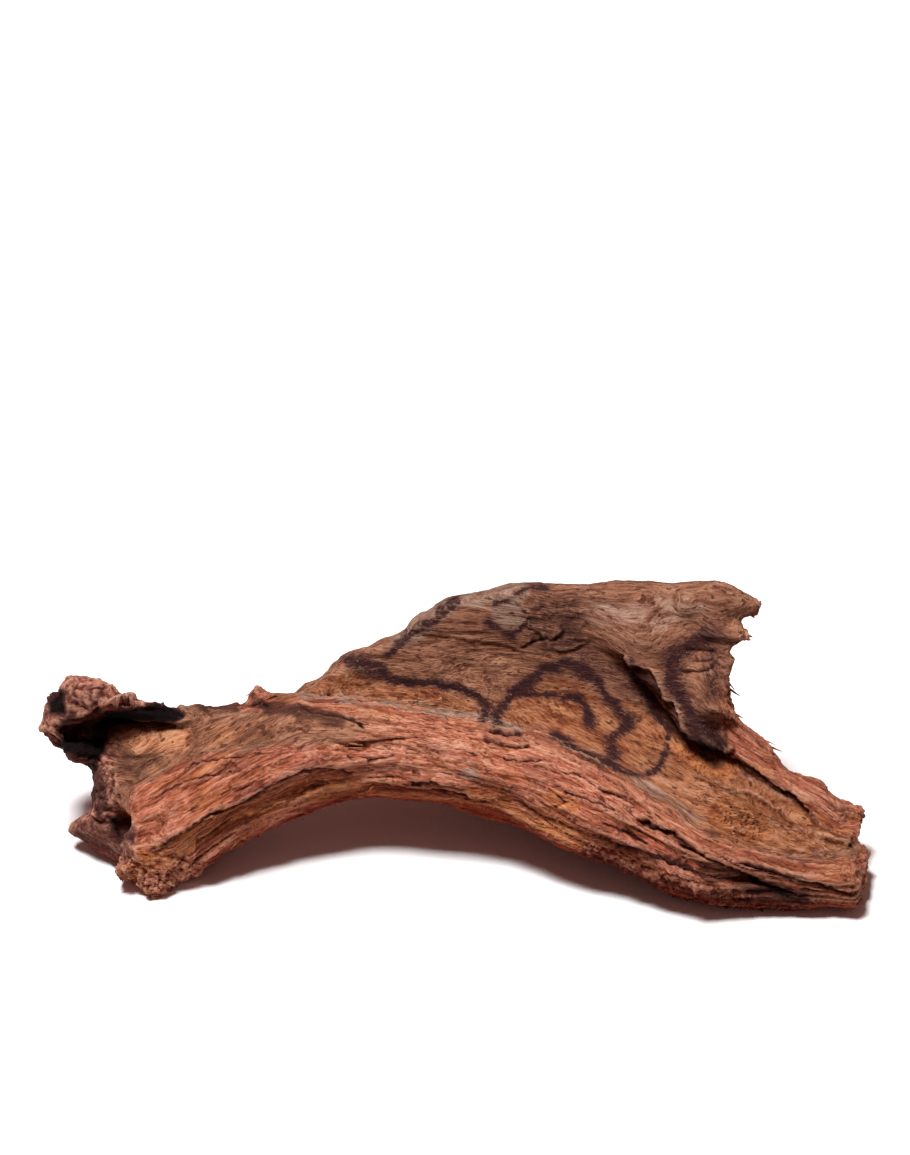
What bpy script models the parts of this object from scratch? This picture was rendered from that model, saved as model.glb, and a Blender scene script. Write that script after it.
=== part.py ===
"""A piece of driftwood: one weathered root, arched like a bridge, with a wing of wood rising behind it.

The wood is drawn the way it is seen from the front and above. Every place is three sizes in millimetres:
ACROSS runs to the right, UP runs up a drawing plane that leans back from the table, and HEIGHT is the true
height above the table. Limbs, a sheet and cutters are fused, then weathered along the grain.
"""

import math

import bmesh
import bpy
import numpy as np
from mathutils import Matrix, Vector, noise

MM = 0.001

# Driving dimensions, in millimetres and degrees
LENGTH = 300.0  # tip of the knob to the broken right end
PLANE_LEAN = 35.0  # how far the line of sight looks down on the table
WING_THICKNESS = 11.0
FUSE_VOXEL = 1.7
FINE_VOXEL = 1.2
FILLET_PASSES = 5
CALM_PASSES = 1
FOOT_CUT = 0.5  # what the feet lose where they are worn flat
TRIANGLES = 11600

# Grain and weathering
SEED = 41.0
GRAIN_REACH = 46.0  # how far one ridge runs along the grain
GRAIN_PITCH = 7.0  # from one ridge to the next
GRAIN_DEPTH = 1.7
GRAIN_SHARPNESS = 2.2
WING_CALM = 0.55  # how much of the ridges the wing's face loses
FACING_GAIN = 1.6  # how soon a surface turned to the viewer counts as facing
STRAIGHT_ABOVE = 60.0  # this far above the beam the ridges no longer follow its bend
LUMP_SIZE = 24.0
LUMP_DEPTH = 1.9

WOOD_COLOUR = (0.36, 0.17, 0.10, 1.0)
WOOD_ROUGHNESS = 0.85

SIN_LEAN = math.sin(math.radians(PLANE_LEAN))
COS_LEAN = math.cos(math.radians(PLANE_LEAN))
AWAY = Vector((0.0, COS_LEAN, -SIN_LEAN))  # along the line of sight, into the drawing plane

RING_SIDES = 20
STEPS_BETWEEN = 5  # rings from one station to the next
LEAST_HALF_SIZE = 0.4
SHEET_LEVELS = 3
SMOOTH_FACTOR = 0.5

# Limbs. Each station is across, up, height, half width seen, half depth along the line of sight.
LIMBS = {
    "arched_beam": [
        (-115.5, 15.5, 11.5, 10.0, 10.0),
        (-105.5, 21.5, 16.0, 18.5, 13.0),
        (-92.5, 31.5, 23.0, 19.0, 15.0),
        (-74.5, 42.0, 30.0, 18.5, 16.0),
        (-56.0, 49.0, 34.0, 18.0, 16.0),
        (-38.0, 52.5, 36.0, 17.5, 15.0),
        (-20.0, 52.0, 36.0, 16.5, 15.0),
        (2.0, 48.5, 34.0, 16.0, 15.0),
        (27.5, 41.0, 30.0, 16.5, 15.0),
        (53.0, 30.5, 26.0, 17.0, 15.0),
        (67.5, 22.5, 22.0, 16.5, 14.0),
        (80.0, 16.0, 19.0, 14.5, 13.0),
        (90.5, 11.5, 16.0, 12.5, 12.0),
        (104.0, 7.5, 12.5, 10.0, 10.0),
        (118.5, 4.5, 10.0, 8.5, 9.0),
        (133.0, 3.0, 8.5, 8.0, 8.5),
        (144.5, 2.5, 7.5, 8.0, 8.0),
    ],
    "smooth_neck": [
        (-123.0, 45.5, 29.5, 7.5, 8.0),
        (-109.0, 50.0, 33.5, 11.0, 10.0),
        (-92.5, 54.5, 38.0, 11.5, 11.0),
        (-74.5, 59.0, 41.5, 9.5, 12.0),
        (-52.0, 63.0, 44.0, 6.5, 10.0),
    ],
    "crest": [
        (-71.0, 69.0, 49.5, 2.0, 4.0),
        (-56.0, 68.0, 48.5, 2.8, 5.0),
        (-38.0, 66.0, 47.0, 3.0, 5.0),
        (-12.0, 63.5, 45.5, 3.0, 5.0),
        (12.0, 59.5, 42.5, 3.0, 5.0),
        (36.0, 53.5, 38.0, 3.0, 5.0),
    ],
    "snapped_twig": [
        (-68.0, 67.0, 47.5, 4.0, 4.0),
        (-71.5, 71.0, 51.0, 2.8, 3.0),
        (-73.5, 74.0, 53.5, 1.8, 2.0),
    ],
    "left_leg": [
        (-120.5, 49.5, 34.0, 6.0, 10.0),
        (-123.0, 39.0, 25.0, 5.2, 10.0),
        (-122.5, 28.0, 14.5, 6.6, 9.5),
        (-118.0, 19.5, 7.5, 8.0, 9.0),
    ],
    "left_web": [
        (-117.0, 46.0, 31.5, 8.0, 8.0),
        (-116.5, 38.0, 26.5, 7.5, 8.0),
        (-116.0, 33.0, 23.5, 6.5, 7.5),
    ],
    "spur": [
        (-115.0, 18.5, 9.0, 8.0, 8.0),
        (-125.5, 21.5, 9.5, 7.0, 7.5),
        (-132.0, 23.0, 9.5, 5.0, 5.5),
        (-137.5, 22.5, 8.5, 2.6, 2.6),
        (-140.7, 22.0, 8.0, 0.8, 0.8),
    ],
    "front_foot": [
        (-108.0, 12.0, 9.0, 9.0, 8.0),
        (-106.5, 5.0, 4.5, 6.0, 7.0),
        (-106.0, 0.5, 0.0, 3.5, 5.0),
    ],
    "foot_toe": [
        (-112.0, 12.0, 9.0, 6.0, 7.0),
        (-114.5, 6.0, 5.0, 4.0, 5.0),
        (-115.0, 2.8, 2.8, 2.2, 2.5),
    ],
    "foot_thorn": [
        (-114.0, 9.0, 9.0, 3.5, 3.5),
        (-118.5, 7.5, 8.5, 2.0, 2.0),
        (-122.0, 6.8, 8.2, 0.8, 0.8),
    ],
    "knob": [
        (-133.0, 74.0, 54.5, 7.0, 4.5),
        (-134.5, 70.5, 53.0, 10.5, 8.0),
        (-136.5, 66.5, 50.5, 11.0, 9.0),
        (-137.5, 62.0, 47.5, 10.0, 8.5),
        (-137.5, 57.5, 44.5, 8.0, 7.0),
    ],
    "knob_lip": [
        (-147.5, 62.0, 47.5, 2.4, 4.0),
        (-142.5, 58.0, 44.5, 3.0, 6.0),
        (-138.0, 54.5, 41.0, 3.0, 6.5),
        (-128.0, 51.5, 36.5, 4.0, 7.0),
    ],
    "knob_crown": [
        (-139.0, 73.0, 56.5, 4.0, 6.0),
        (-130.0, 73.5, 58.5, 3.6, 6.0),
        (-123.5, 73.5, 59.0, 2.6, 5.0),
        (-120.0, 73.0, 59.0, 1.6, 3.0),
    ],
    "brow": [
        (-135.0, 71.0, 52.5, 5.0, 13.0),
        (-122.0, 69.5, 50.8, 3.6, 17.0),
        (-110.5, 67.0, 49.0, 3.0, 16.0),
        (-101.0, 64.5, 47.0, 3.0, 12.0),
        (-90.0, 63.0, 46.0, 4.0, 8.0),
    ],
    "pocket_wall": [
        (-145.0, 62.5, 41.0, 6.0, 5.0),
        (-137.0, 62.0, 37.0, 9.0, 6.0),
        (-123.5, 61.0, 34.5, 11.0, 6.0),
        (-109.0, 60.0, 35.0, 10.5, 6.0),
        (-92.0, 60.0, 40.0, 8.5, 7.0),
    ],
    "trough_floor": [
        (60.0, 48.0, 23.0, 5.0, 3.0),
        (74.0, 44.0, 24.5, 10.0, 5.0),
        (89.0, 36.0, 20.0, 13.0, 6.0),
        (111.0, 26.0, 14.0, 13.0, 6.0),
        (129.0, 18.0, 10.5, 11.5, 6.0),
        (146.0, 11.5, 8.8, 9.0, 6.5),
    ],
    "trough_keel": [
        (56.0, 36.0, 25.0, 9.0, 8.0),
        (80.0, 24.0, 14.5, 9.0, 8.0),
        (104.0, 15.0, 8.5, 8.0, 8.5),
        (128.0, 10.5, 6.5, 6.5, 8.0),
        (145.0, 8.5, 6.5, 6.0, 7.5),
    ],
    "back_strip": [
        (94.0, 78.0, 49.0, 4.0, 5.0),
        (96.5, 69.0, 44.5, 5.5, 6.0),
        (101.5, 59.0, 38.0, 6.0, 6.5),
        (114.5, 43.5, 27.0, 8.0, 7.5),
        (130.0, 33.5, 20.5, 8.0, 7.5),
        (142.0, 27.0, 16.5, 6.5, 6.5),
    ],
    "lower_fringe": [
        (58.0, 16.0, 15.5, 3.4, 6.0),
        (70.0, 9.2, 10.0, 3.5, 6.0),
        (84.0, 5.2, 6.5, 3.8, 6.5),
        (104.0, 3.0, 5.0, 3.8, 6.5),
        (126.0, 2.4, 5.0, 3.0, 6.0),
    ],
    "wing_tip": [
        (84.0, 104.5, 77.0, 6.0, 5.0),
        (98.0, 104.5, 76.5, 5.5, 5.0),
        (107.5, 104.5, 76.0, 3.6, 3.6),
        (114.0, 105.0, 76.0, 2.2, 2.4),
    ],
    "lobe_tooth": [
        (92.0, 97.0, 71.5, 6.0, 5.0),
        (102.0, 94.5, 69.5, 3.6, 3.6),
        (108.5, 93.0, 68.5, 2.8, 2.6),
    ],
    "face_terrace": [
        (-12.0, 83.0, 51.0, 4.0, 2.0),
        (8.0, 93.5, 58.5, 6.0, 3.4),
        (28.0, 96.5, 61.5, 6.5, 3.8),
        (48.0, 92.5, 60.0, 5.0, 3.4),
    ],
    "back_heel": [
        (52.0, 74.0, 39.0, 28.0, 6.0),
        (62.0, 60.0, 27.5, 23.0, 8.0),
        (71.0, 49.0, 17.0, 17.0, 10.5),
        (77.0, 41.0, 6.0, 13.0, 10.0),
        (79.0, 37.5, -1.0, 11.0, 9.0),
    ],
    "back_rib_high": [
        (-34.0, 76.0, 43.5, 6.0, 6.0),
        (-6.0, 86.0, 50.0, 7.5, 6.5),
        (32.0, 92.0, 52.5, 8.0, 7.0),
        (70.0, 92.0, 54.5, 8.5, 7.0),
        (97.0, 84.0, 51.0, 6.0, 6.0),
    ],
    "back_rib_low": [
        (-46.0, 62.0, 33.0, 8.0, 8.0),
        (-10.0, 66.0, 34.0, 9.0, 8.5),
        (34.0, 64.0, 30.5, 10.0, 8.5),
        (76.0, 60.0, 30.0, 10.0, 8.0),
        (102.0, 50.0, 26.0, 7.0, 6.5),
    ],
}

# Hollows that water and rot have opened, drawn as limbs too
HOLLOWS = {
    "pocket_under_brow": [
        (-140.5, 59.0, 49.5, 2.5, 8.0),
        (-132.0, 59.0, 47.0, 6.0, 13.0),
        (-121.0, 58.0, 45.0, 7.4, 16.0),
        (-110.0, 58.5, 45.0, 6.2, 12.0),
        (-98.0, 60.0, 48.0, 3.0, 5.0),
    ],
    "pocket_ramp": [
        (-132.0, 56.0, 50.0, 5.0, 10.0),
        (-121.0, 55.0, 48.0, 9.5, 20.0),
        (-108.0, 55.5, 48.5, 9.0, 17.0),
        (-95.0, 58.0, 52.0, 6.0, 10.0),
    ],
    "foot_tunnel": [
        (-127.5, 23.0, 22.0, 3.0, 6.0),
        (-122.5, 24.5, 20.5, 5.0, 9.0),
        (-116.5, 25.0, 19.5, 5.6, 9.0),
        (-108.0, 27.5, 19.0, 4.2, 6.5),
        (-101.0, 30.0, 19.0, 2.0, 3.0),
    ],
}

# The wing's front face, from its root behind the beam to its top edge: across, then up and height at each row
WING_COLUMNS = [
    (-54.0, (60.0, 38.0), (64.0, 43.0), (67.0, 46.5), (70.0, 49.5)),
    (-41.5, (58.0, 36.0), (66.5, 42.5), (74.5, 49.5), (80.5, 55.0)),
    (-25.0, (55.5, 34.0), (67.5, 42.5), (79.0, 52.0), (90.5, 62.5)),
    (-9.0, (53.5, 33.0), (69.0, 43.0), (84.5, 55.0), (100.0, 69.0)),
    (7.5, (50.5, 31.0), (70.5, 42.0), (90.0, 57.0), (109.0, 75.5)),
    (31.0, (43.5, 27.0), (66.5, 38.0), (89.0, 56.5), (111.0, 77.5)),
    (56.5, (36.0, 24.0), (62.0, 35.0), (87.0, 57.0), (112.5, 80.0)),
    (82.0, (29.0, 20.0), (58.0, 35.5), (86.0, 59.0), (114.0, 82.0)),
    (99.5, (33.0, 21.0), (57.0, 37.0), (82.0, 57.5), (108.5, 78.0)),
]

# The layer over the wing that ends in a hanging flap, row by row from its top edge down: across, up, and how far
# it stands out of the wing
LAYER_THICKNESS = 6.0
LAYER_ROWS = [
    [(34.0, 106.5, -0.5), (50.0, 109.5, 1.0), (63.0, 111.5, 2.0), (74.0, 112.0, 2.5), (85.0, 112.5, 2.5),
     (96.0, 111.0, 2.0), (105.0, 107.0, 1.0)],
    [(36.0, 103.5, -0.5), (50.0, 104.0, 2.0), (62.0, 104.0, 4.0), (73.0, 103.5, 5.5), (84.0, 102.0, 6.0),
     (93.0, 100.0, 5.5), (102.0, 97.5, 3.5)],
    [(39.0, 99.5, -0.5), (51.0, 98.5, 2.0), (61.5, 95.0, 4.5), (72.0, 91.0, 7.0), (81.0, 86.5, 7.5),
     (90.0, 83.0, 6.5), (97.5, 81.0, 4.0)],
    [(42.0, 97.5, -0.5), (53.0, 94.5, 2.0), (62.0, 89.0, 5.5), (70.5, 83.0, 8.0), (79.0, 75.0, 9.0),
     (86.5, 70.5, 8.5), (93.0, 69.5, 6.0)],
    [(45.0, 95.5, -0.5), (54.0, 92.5, 1.5), (62.0, 86.0, 5.5), (69.5, 80.0, 8.5), (77.5, 69.5, 10.0),
     (84.5, 60.5, 10.5), (91.5, 61.5, 9.0)],
    [(45.5, 95.0, -0.5), (54.5, 91.5, 1.0), (62.5, 84.5, 5.0), (70.5, 77.0, 8.5), (79.0, 66.5, 10.0),
     (86.5, 56.0, 10.5), (99.0, 50.5, 9.5)],
]

# Long splits in the front of the wood: width, depth, then across and up along the split
FURROWS = [
    (2.2, 3.2, [(-98.0, 9.0), (-87.0, 20.0), (-74.0, 29.0), (-56.0, 37.0), (-38.0, 42.5), (-12.0, 43.0)]),
    (2.0, 3.0, [(-104.0, 42.0), (-92.0, 48.0), (-74.0, 55.0), (-54.0, 59.0), (-30.0, 60.5)]),
    (2.6, 3.4, [(60.0, 24.0), (76.0, 13.5), (92.0, 8.0), (112.0, 3.5), (138.0, 1.0)]),
    (2.0, 2.8, [(-8.0, 45.5), (8.0, 40.5), (24.0, 33.5), (40.0, 26.5), (58.0, 17.0)]),
    (2.0, 2.4, [(-90.0, 40.0), (-70.0, 48.5), (-48.0, 53.0), (-22.0, 53.0), (6.0, 49.0)]),
    (2.0, 2.4, [(8.0, 53.0), (34.0, 45.0), (58.0, 33.5), (80.0, 20.0)]),
    (2.2, 3.0, [(98.0, 50.0), (110.0, 43.5), (122.0, 36.0), (134.0, 27.0), (148.0, 20.5)]),
]

# Fibres left standing where the wood broke: seed, count, from and to (across, up, height), length, half width
SPLINTER_ROOT = 6.0  # how far a fibre reaches into the wood
SPLINTER_RISE = 1.2  # how much the tips wander up and down
SPLINTER_ROWS = [
    (3, 9, (141.0, -2.0, 6.5), (146.0, 17.0, 10.0), 9.0, 2.4),
    (5, 6, (142.0, 21.0, 15.0), (144.0, 32.0, 18.5), 9.0, 2.2),
    (8, 8, (96.0, 66.0, 49.0), (100.0, 98.0, 71.0), 8.0, 2.1),
]


def placed(across, up, height):
    """The point seen at that place on the drawing plane and standing at that height, in metres."""
    return Vector((across, (up - height * COS_LEAN) / SIN_LEAN, height)) * MM


def along(stations, steps):
    """Catmull-Rom stations between the given ones, so that limbs bend smoothly."""
    table = np.array(stations, float)
    padded = np.vstack([2 * table[0] - table[1], table, 2 * table[-1] - table[-2]])
    out = []
    for i in range(1, len(padded) - 2):
        p0, p1, p2, p3 = padded[i - 1 : i + 3]
        for t in np.arange(steps) / steps:
            out.append(
                0.5 * (2 * p1 + (p2 - p0) * t + (2 * p0 - 5 * p1 + 4 * p2 - p3) * t**2
                       + (3 * p1 - p0 - 3 * p2 + p3) * t**3)
            )
    out.append(padded[-2])
    return np.array(out)


def mesh_object(name, bm, collection):
    """Closes a bmesh into an object of the collection."""
    bmesh.ops.recalc_face_normals(bm, faces=bm.faces)
    mesh = bpy.data.meshes.new(name)
    bm.to_mesh(mesh)
    bm.free()
    obj = bpy.data.objects.new(name, mesh)
    collection.objects.link(obj)
    return obj


def helper(obj):
    """Marks an object as a guide or cutter and not a part."""
    obj.hide_render = True
    obj.display_type = "WIRE"
    return obj


def limb(name, stations, collection):
    """A closed loft of elliptical rings along the stations."""
    fine = along(stations, STEPS_BETWEEN)
    centres = [placed(*row[:3]) for row in fine]
    bm = bmesh.new()
    rings = []
    for i, centre in enumerate(centres):
        before, after = centres[max(i - 1, 0)], centres[min(i + 1, len(centres) - 1)]
        run = (after - before).normalized()
        depth_axis = (AWAY - run * AWAY.dot(run)).normalized()
        width_axis = depth_axis.cross(run)
        half_width, half_depth = (max(size, LEAST_HALF_SIZE) * MM for size in fine[i, 3:])
        frame = Matrix((width_axis * half_width, depth_axis * half_depth, run)).transposed().to_4x4()
        frame.translation = centre
        ring = bmesh.ops.create_circle(bm, segments=RING_SIDES, radius=1.0, matrix=frame)["verts"]
        rings.append(ring)
    loops = [edge for ring in rings for edge in {e for v in ring for e in v.link_edges}]
    for first, second in zip(rings, rings[1:]):
        edges = {e for v in first + second for e in v.link_edges if e in loops}
        bmesh.ops.bridge_loops(bm, edges=[e for e in edges if len(e.link_faces) < 2])
    for ring in (rings[0], rings[-1]):
        bm.faces.new(ring)
    return helper(mesh_object(name, bm, collection))


def sheet(name, rows, thickness, collection):
    """A coarse cage of points, rounded by Subdivision Surface and thickened away from the viewer."""
    columns = len(rows[0])
    bm = bmesh.new()
    bmesh.ops.create_grid(bm, x_segments=columns - 1, y_segments=len(rows) - 1, size=1.0)
    ordered = sorted(bm.verts, key=lambda v: (-round(v.co.y, 4), round(v.co.x, 4)))
    for vert, place in zip(ordered, [place for row in rows for place in row]):
        vert.co = placed(*place)
    made = mesh_object(name, bm, collection)
    if made.data.polygons[0].normal.dot(AWAY) > 0:
        made.data.flip_normals()
    smooth = made.modifiers.new("round", "SUBSURF")
    smooth.levels = smooth.render_levels = SHEET_LEVELS
    solid = made.modifiers.new("thickness", "SOLIDIFY")
    solid.thickness = thickness * MM
    solid.offset = -1.0
    return helper(made)


def wing_rows():
    """The wing's columns turned into rows from its top edge down."""
    count = len(WING_COLUMNS[0]) - 1
    return [[(column[0], *column[count - row]) for column in WING_COLUMNS] for row in range(count)]


def splinters(collection):
    """Short tapered fibres that stand out to the right where the wood has broken."""
    made = []
    for seed, count, start, end, length, half_width in SPLINTER_ROWS:
        draw = np.random.default_rng(seed)
        for i in range(count):
            share = min((i + draw.uniform(0.0, 0.5)) / (count - 1), 1.0)
            root = np.array(start) + (np.array(end) - np.array(start)) * share
            reach = length * draw.uniform(0.35, 1.0)
            rise = draw.normal(0.0, SPLINTER_RISE)
            width = half_width * draw.uniform(0.7, 1.3)
            stations = [
                (*(root - (SPLINTER_ROOT, 0.0, 0.0)), width, width),
                (*(root + (0.4 * reach, 0.4 * rise, 0.3 * rise)), 0.9 * width, width),
                (*(root + (reach, rise, 0.7 * rise)), 0.35 * width, 0.5 * width),
            ]
            made.append(limb(f"splinter_{seed}_{i}", stations, collection))
    return made


def evaluated_mesh(obj):
    """The object's mesh with its modifiers applied."""
    graph = bpy.context.evaluated_depsgraph_get()
    return bpy.data.meshes.new_from_object(obj.evaluated_get(graph))


def remesh(obj, voxel):
    """Fuses what overlaps into one skin."""
    skin = obj.modifiers.new("fuse", "REMESH")
    skin.mode = "VOXEL"
    skin.voxel_size = voxel * MM
    return skin


def fused(pieces, cutters, collection):
    """One body from all the limbs, opened by the cutters and rounded where the limbs meet."""
    bm = bmesh.new()
    for piece in pieces:
        bm.from_mesh(evaluated_mesh(piece))
    body = mesh_object("driftwood", bm, collection)
    remesh(body, FUSE_VOXEL)
    cut = body.modifiers.new("hollows", "BOOLEAN")
    cut.operation = "DIFFERENCE"
    cut.operand_type = "COLLECTION"
    cut.collection = cutters
    remesh(body, FINE_VOXEL)
    fillet = body.modifiers.new("fillet", "SMOOTH")
    fillet.factor = SMOOTH_FACTOR
    fillet.iterations = FILLET_PASSES
    body.data = evaluated_mesh(body)
    body.modifiers.clear()
    return body


def on_wing(across, up, stand_out):
    """The point that stands that far out of the wing's face, towards the viewer, as across, up and height."""
    heights = []
    for _, *places in WING_COLUMNS:
        ups, levels = zip(*places)
        slope = (levels[-1] - levels[0]) / (ups[-1] - ups[0])
        outside = min(up - ups[0], 0.0) + max(up - ups[-1], 0.0)
        heights.append(np.interp(up, ups, levels) + slope * outside)
    height = np.interp(across, [column[0] for column in WING_COLUMNS], heights)
    return across, up, height + stand_out * SIN_LEAN


def split_depth(points, line, width):
    """How deep each (across, up) point lies in a split, from 0 to 1, fading towards the ends of its line."""
    stretches = list(zip(np.array(line, float), np.array(line[1:], float)))
    nearest = np.full(len(points), np.inf)
    place = np.zeros(len(points))
    for i, (a, b) in enumerate(stretches):
        share = np.clip(((points - a) @ (b - a)) / ((b - a) @ (b - a)), 0.0, 1.0)
        distance = np.linalg.norm(points - a - share[:, None] * (b - a), axis=1)
        place = np.where(distance < nearest, (i + share) / len(stretches), place)
        nearest = np.minimum(nearest, distance)
    return np.exp(-((nearest / width) ** 2)) * np.sqrt(np.clip(4.0 * place * (1.0 - place), 0.0, 1.0))


def weather(body):
    """Moves the skin along its normals: ridges that follow the beam's bend, broad lumps and the long splits."""
    mesh = body.data
    count = len(mesh.vertices)
    co = np.empty(count * 3)
    mesh.vertices.foreach_get("co", co)
    co = co.reshape(-1, 3) / MM
    normals = np.array([tuple(v.normal) for v in mesh.vertices])
    heart = np.array([tuple(placed(*row[:3]) / MM) for row in along(LIMBS["arched_beam"], STEPS_BETWEEN)])
    bend_y = np.interp(co[:, 0], heart[:, 0], heart[:, 1])
    bend_z = np.interp(co[:, 0], heart[:, 0], heart[:, 2])
    follow = np.clip(1.0 - (co[:, 2] - bend_z) / STRAIGHT_ABOVE, 0.0, 1.0)
    facing = np.clip(-(normals @ np.array(AWAY)) * FACING_GAIN, 0.0, 1.0)
    calm = 1.0 - WING_CALM * facing * np.clip((co[:, 2] - bend_z) / LUMP_SIZE, 0.0, 1.0)
    push = np.zeros(count)
    for i in range(count):
        x, y, z = co[i, 0], co[i, 1] - bend_y[i] * follow[i], co[i, 2] - bend_z[i] * follow[i]
        lump = noise.noise(Vector((x, y, z)) / LUMP_SIZE + Vector((SEED, 0.0, 0.0)))
        ridge = noise.noise(Vector((x / GRAIN_REACH, y / GRAIN_PITCH, z / GRAIN_PITCH + SEED)))
        push[i] = LUMP_DEPTH * lump + GRAIN_DEPTH * calm[i] * (1.0 - GRAIN_SHARPNESS * abs(ridge))
    seen = np.column_stack([co[:, 0], co[:, 1] * SIN_LEAN + co[:, 2] * COS_LEAN])
    for width, depth, line in FURROWS:
        push -= depth * facing * split_depth(seen, line, width)
    co += normals * push[:, None]
    mesh.vertices.foreach_set("co", (co * MM).ravel())
    mesh.update()


def thin_out(body):
    """One clean skin again, with fewer triangles where the form is plain."""
    remesh(body, FINE_VOXEL)
    calmed = body.modifiers.new("calmed", "SMOOTH")
    calmed.factor = SMOOTH_FACTOR
    calmed.iterations = CALM_PASSES
    body.data = evaluated_mesh(body)
    body.modifiers.clear()
    triangles = sum(len(face.vertices) - 2 for face in body.data.polygons)
    fewer = body.modifiers.new("thin_out", "DECIMATE")
    fewer.ratio = TRIANGLES / triangles
    fewer.use_collapse_triangulate = True
    body.data = evaluated_mesh(body)
    body.modifiers.clear()


def stand(body):
    """Wears the feet flat on the table and puts the origin under the middle of the body's box."""
    bm = bmesh.new()
    bm.from_mesh(body.data)
    cut_height = Vector((0.0, 0.0, FOOT_CUT * MM))
    everything = bm.verts[:] + bm.edges[:] + bm.faces[:]
    bmesh.ops.bisect_plane(bm, geom=everything, plane_co=cut_height, plane_no=(0.0, 0.0, 1.0), clear_inner=True)
    open_edges = [edge for edge in bm.edges if len(edge.link_faces) == 1]
    bmesh.ops.triangulate(bm, faces=bmesh.ops.edgeloop_fill(bm, edges=open_edges)["faces"])
    bmesh.ops.recalc_face_normals(bm, faces=bm.faces)
    low = Vector(min(v.co[axis] for v in bm.verts) for axis in range(3))
    high = Vector(max(v.co[axis] for v in bm.verts) for axis in range(3))
    scale = LENGTH * MM / (high.x - low.x)
    middle = Vector(((low.x + high.x) / 2, (low.y + high.y) / 2, low.z))
    bmesh.ops.translate(bm, verts=bm.verts, vec=-middle)
    bmesh.ops.scale(bm, verts=bm.verts, vec=(scale, scale, scale))
    bm.to_mesh(body.data)
    bm.free()


def wood_material():
    """Plain reddish brown wood, for the solid alone."""
    material = bpy.data.materials.new("weathered_wood")
    material.use_nodes = True
    shader = material.node_tree.nodes["Principled BSDF"]
    shader.inputs["Base Color"].default_value = WOOD_COLOUR
    shader.inputs["Roughness"].default_value = WOOD_ROUGHNESS
    shader.inputs["Metallic"].default_value = 0.0
    return material


def new_collection(name):
    made = bpy.data.collections.new(name)
    bpy.context.scene.collection.children.link(made)
    return made


def main():
    for old in list(bpy.data.objects):
        bpy.data.objects.remove(old)
    wood = new_collection("piece_of_driftwood")
    guides = new_collection("limbs_before_fusing")
    cutters = new_collection("hollows")
    pieces = [limb(name, stations, guides) for name, stations in LIMBS.items()]
    pieces.append(sheet("wing_sheet", wing_rows(), WING_THICKNESS, guides))
    layer = [[on_wing(*place) for place in row] for row in LAYER_ROWS]
    pieces.append(sheet("flap_layer", layer, LAYER_THICKNESS, guides))
    pieces += splinters(guides)
    for name, stations in HOLLOWS.items():
        limb(name, stations, cutters)
    body = fused(pieces, cutters, wood)
    weather(body)
    thin_out(body)
    stand(body)
    body.data.shade_smooth()
    body.data.materials.append(wood_material())


main()
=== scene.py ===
# %% [markdown]
# A weathered piece of driftwood: an arched root beam with a thin sheet of wood standing on its back.
# The solid model gives the form. This notebook lays a finer skin over it, with split grain, flakes,
# stains and frayed ends, and gives it the colours of old red wood. The first cell loads the solid
# as the frame in which everything is placed, and keeps its box and prints it.

# %% Tools and frame
import itertools
import math

import bmesh
import bpy
import numpy as np
from mathutils import Matrix, Vector
from mathutils.bvhtree import BVHTree
from mathutils.kdtree import KDTree


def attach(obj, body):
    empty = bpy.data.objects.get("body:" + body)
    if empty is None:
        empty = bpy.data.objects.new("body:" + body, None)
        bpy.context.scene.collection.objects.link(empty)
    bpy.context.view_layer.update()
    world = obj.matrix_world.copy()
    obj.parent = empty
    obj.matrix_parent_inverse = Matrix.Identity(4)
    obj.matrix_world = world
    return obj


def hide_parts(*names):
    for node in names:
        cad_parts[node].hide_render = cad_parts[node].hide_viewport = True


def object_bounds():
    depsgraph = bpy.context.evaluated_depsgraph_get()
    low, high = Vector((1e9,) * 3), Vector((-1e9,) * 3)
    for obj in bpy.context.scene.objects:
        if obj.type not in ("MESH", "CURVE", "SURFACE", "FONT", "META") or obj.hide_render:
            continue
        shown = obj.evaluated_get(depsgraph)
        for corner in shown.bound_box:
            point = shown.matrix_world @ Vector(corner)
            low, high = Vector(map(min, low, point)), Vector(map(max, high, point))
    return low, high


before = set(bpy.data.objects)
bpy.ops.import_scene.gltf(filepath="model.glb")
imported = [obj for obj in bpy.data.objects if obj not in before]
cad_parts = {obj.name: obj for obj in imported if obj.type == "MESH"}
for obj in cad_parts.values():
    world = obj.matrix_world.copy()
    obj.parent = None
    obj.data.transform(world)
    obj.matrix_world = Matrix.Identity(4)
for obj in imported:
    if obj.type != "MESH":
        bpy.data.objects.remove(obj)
CAD_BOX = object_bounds()
MM = 0.001
print("solid box, mm:", [[round(v / MM, 1) for v in corner] for corner in CAD_BOX])

# %% [markdown]
# The camera comes first, because the drawn features below are placed by where they are seen.
# A long lens far away looks down at 35 degrees, and the wood sits low in an upright picture.
# Keeping the camera's own arithmetic in plain numbers lets a point on the wood be turned into
# a place in the picture and back, without rendering anything.

# %% Camera
PICTURE = (910.0, 1155.0)
PICTURE_MM_PER_PIXEL = 0.3636
LOOK_DOWN = math.radians(35)
CAMERA_DISTANCE = 1.2
RAISE_AIM = 0.058

middle = Vector((0, 0, (CAD_BOX[0].z + CAD_BOX[1].z) / 2))
toward_camera = Vector((0, -math.cos(LOOK_DOWN), math.sin(LOOK_DOWN)))
picture_up = Vector((0, math.sin(LOOK_DOWN), math.cos(LOOK_DOWN)))
aim = middle + picture_up * RAISE_AIM

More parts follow.
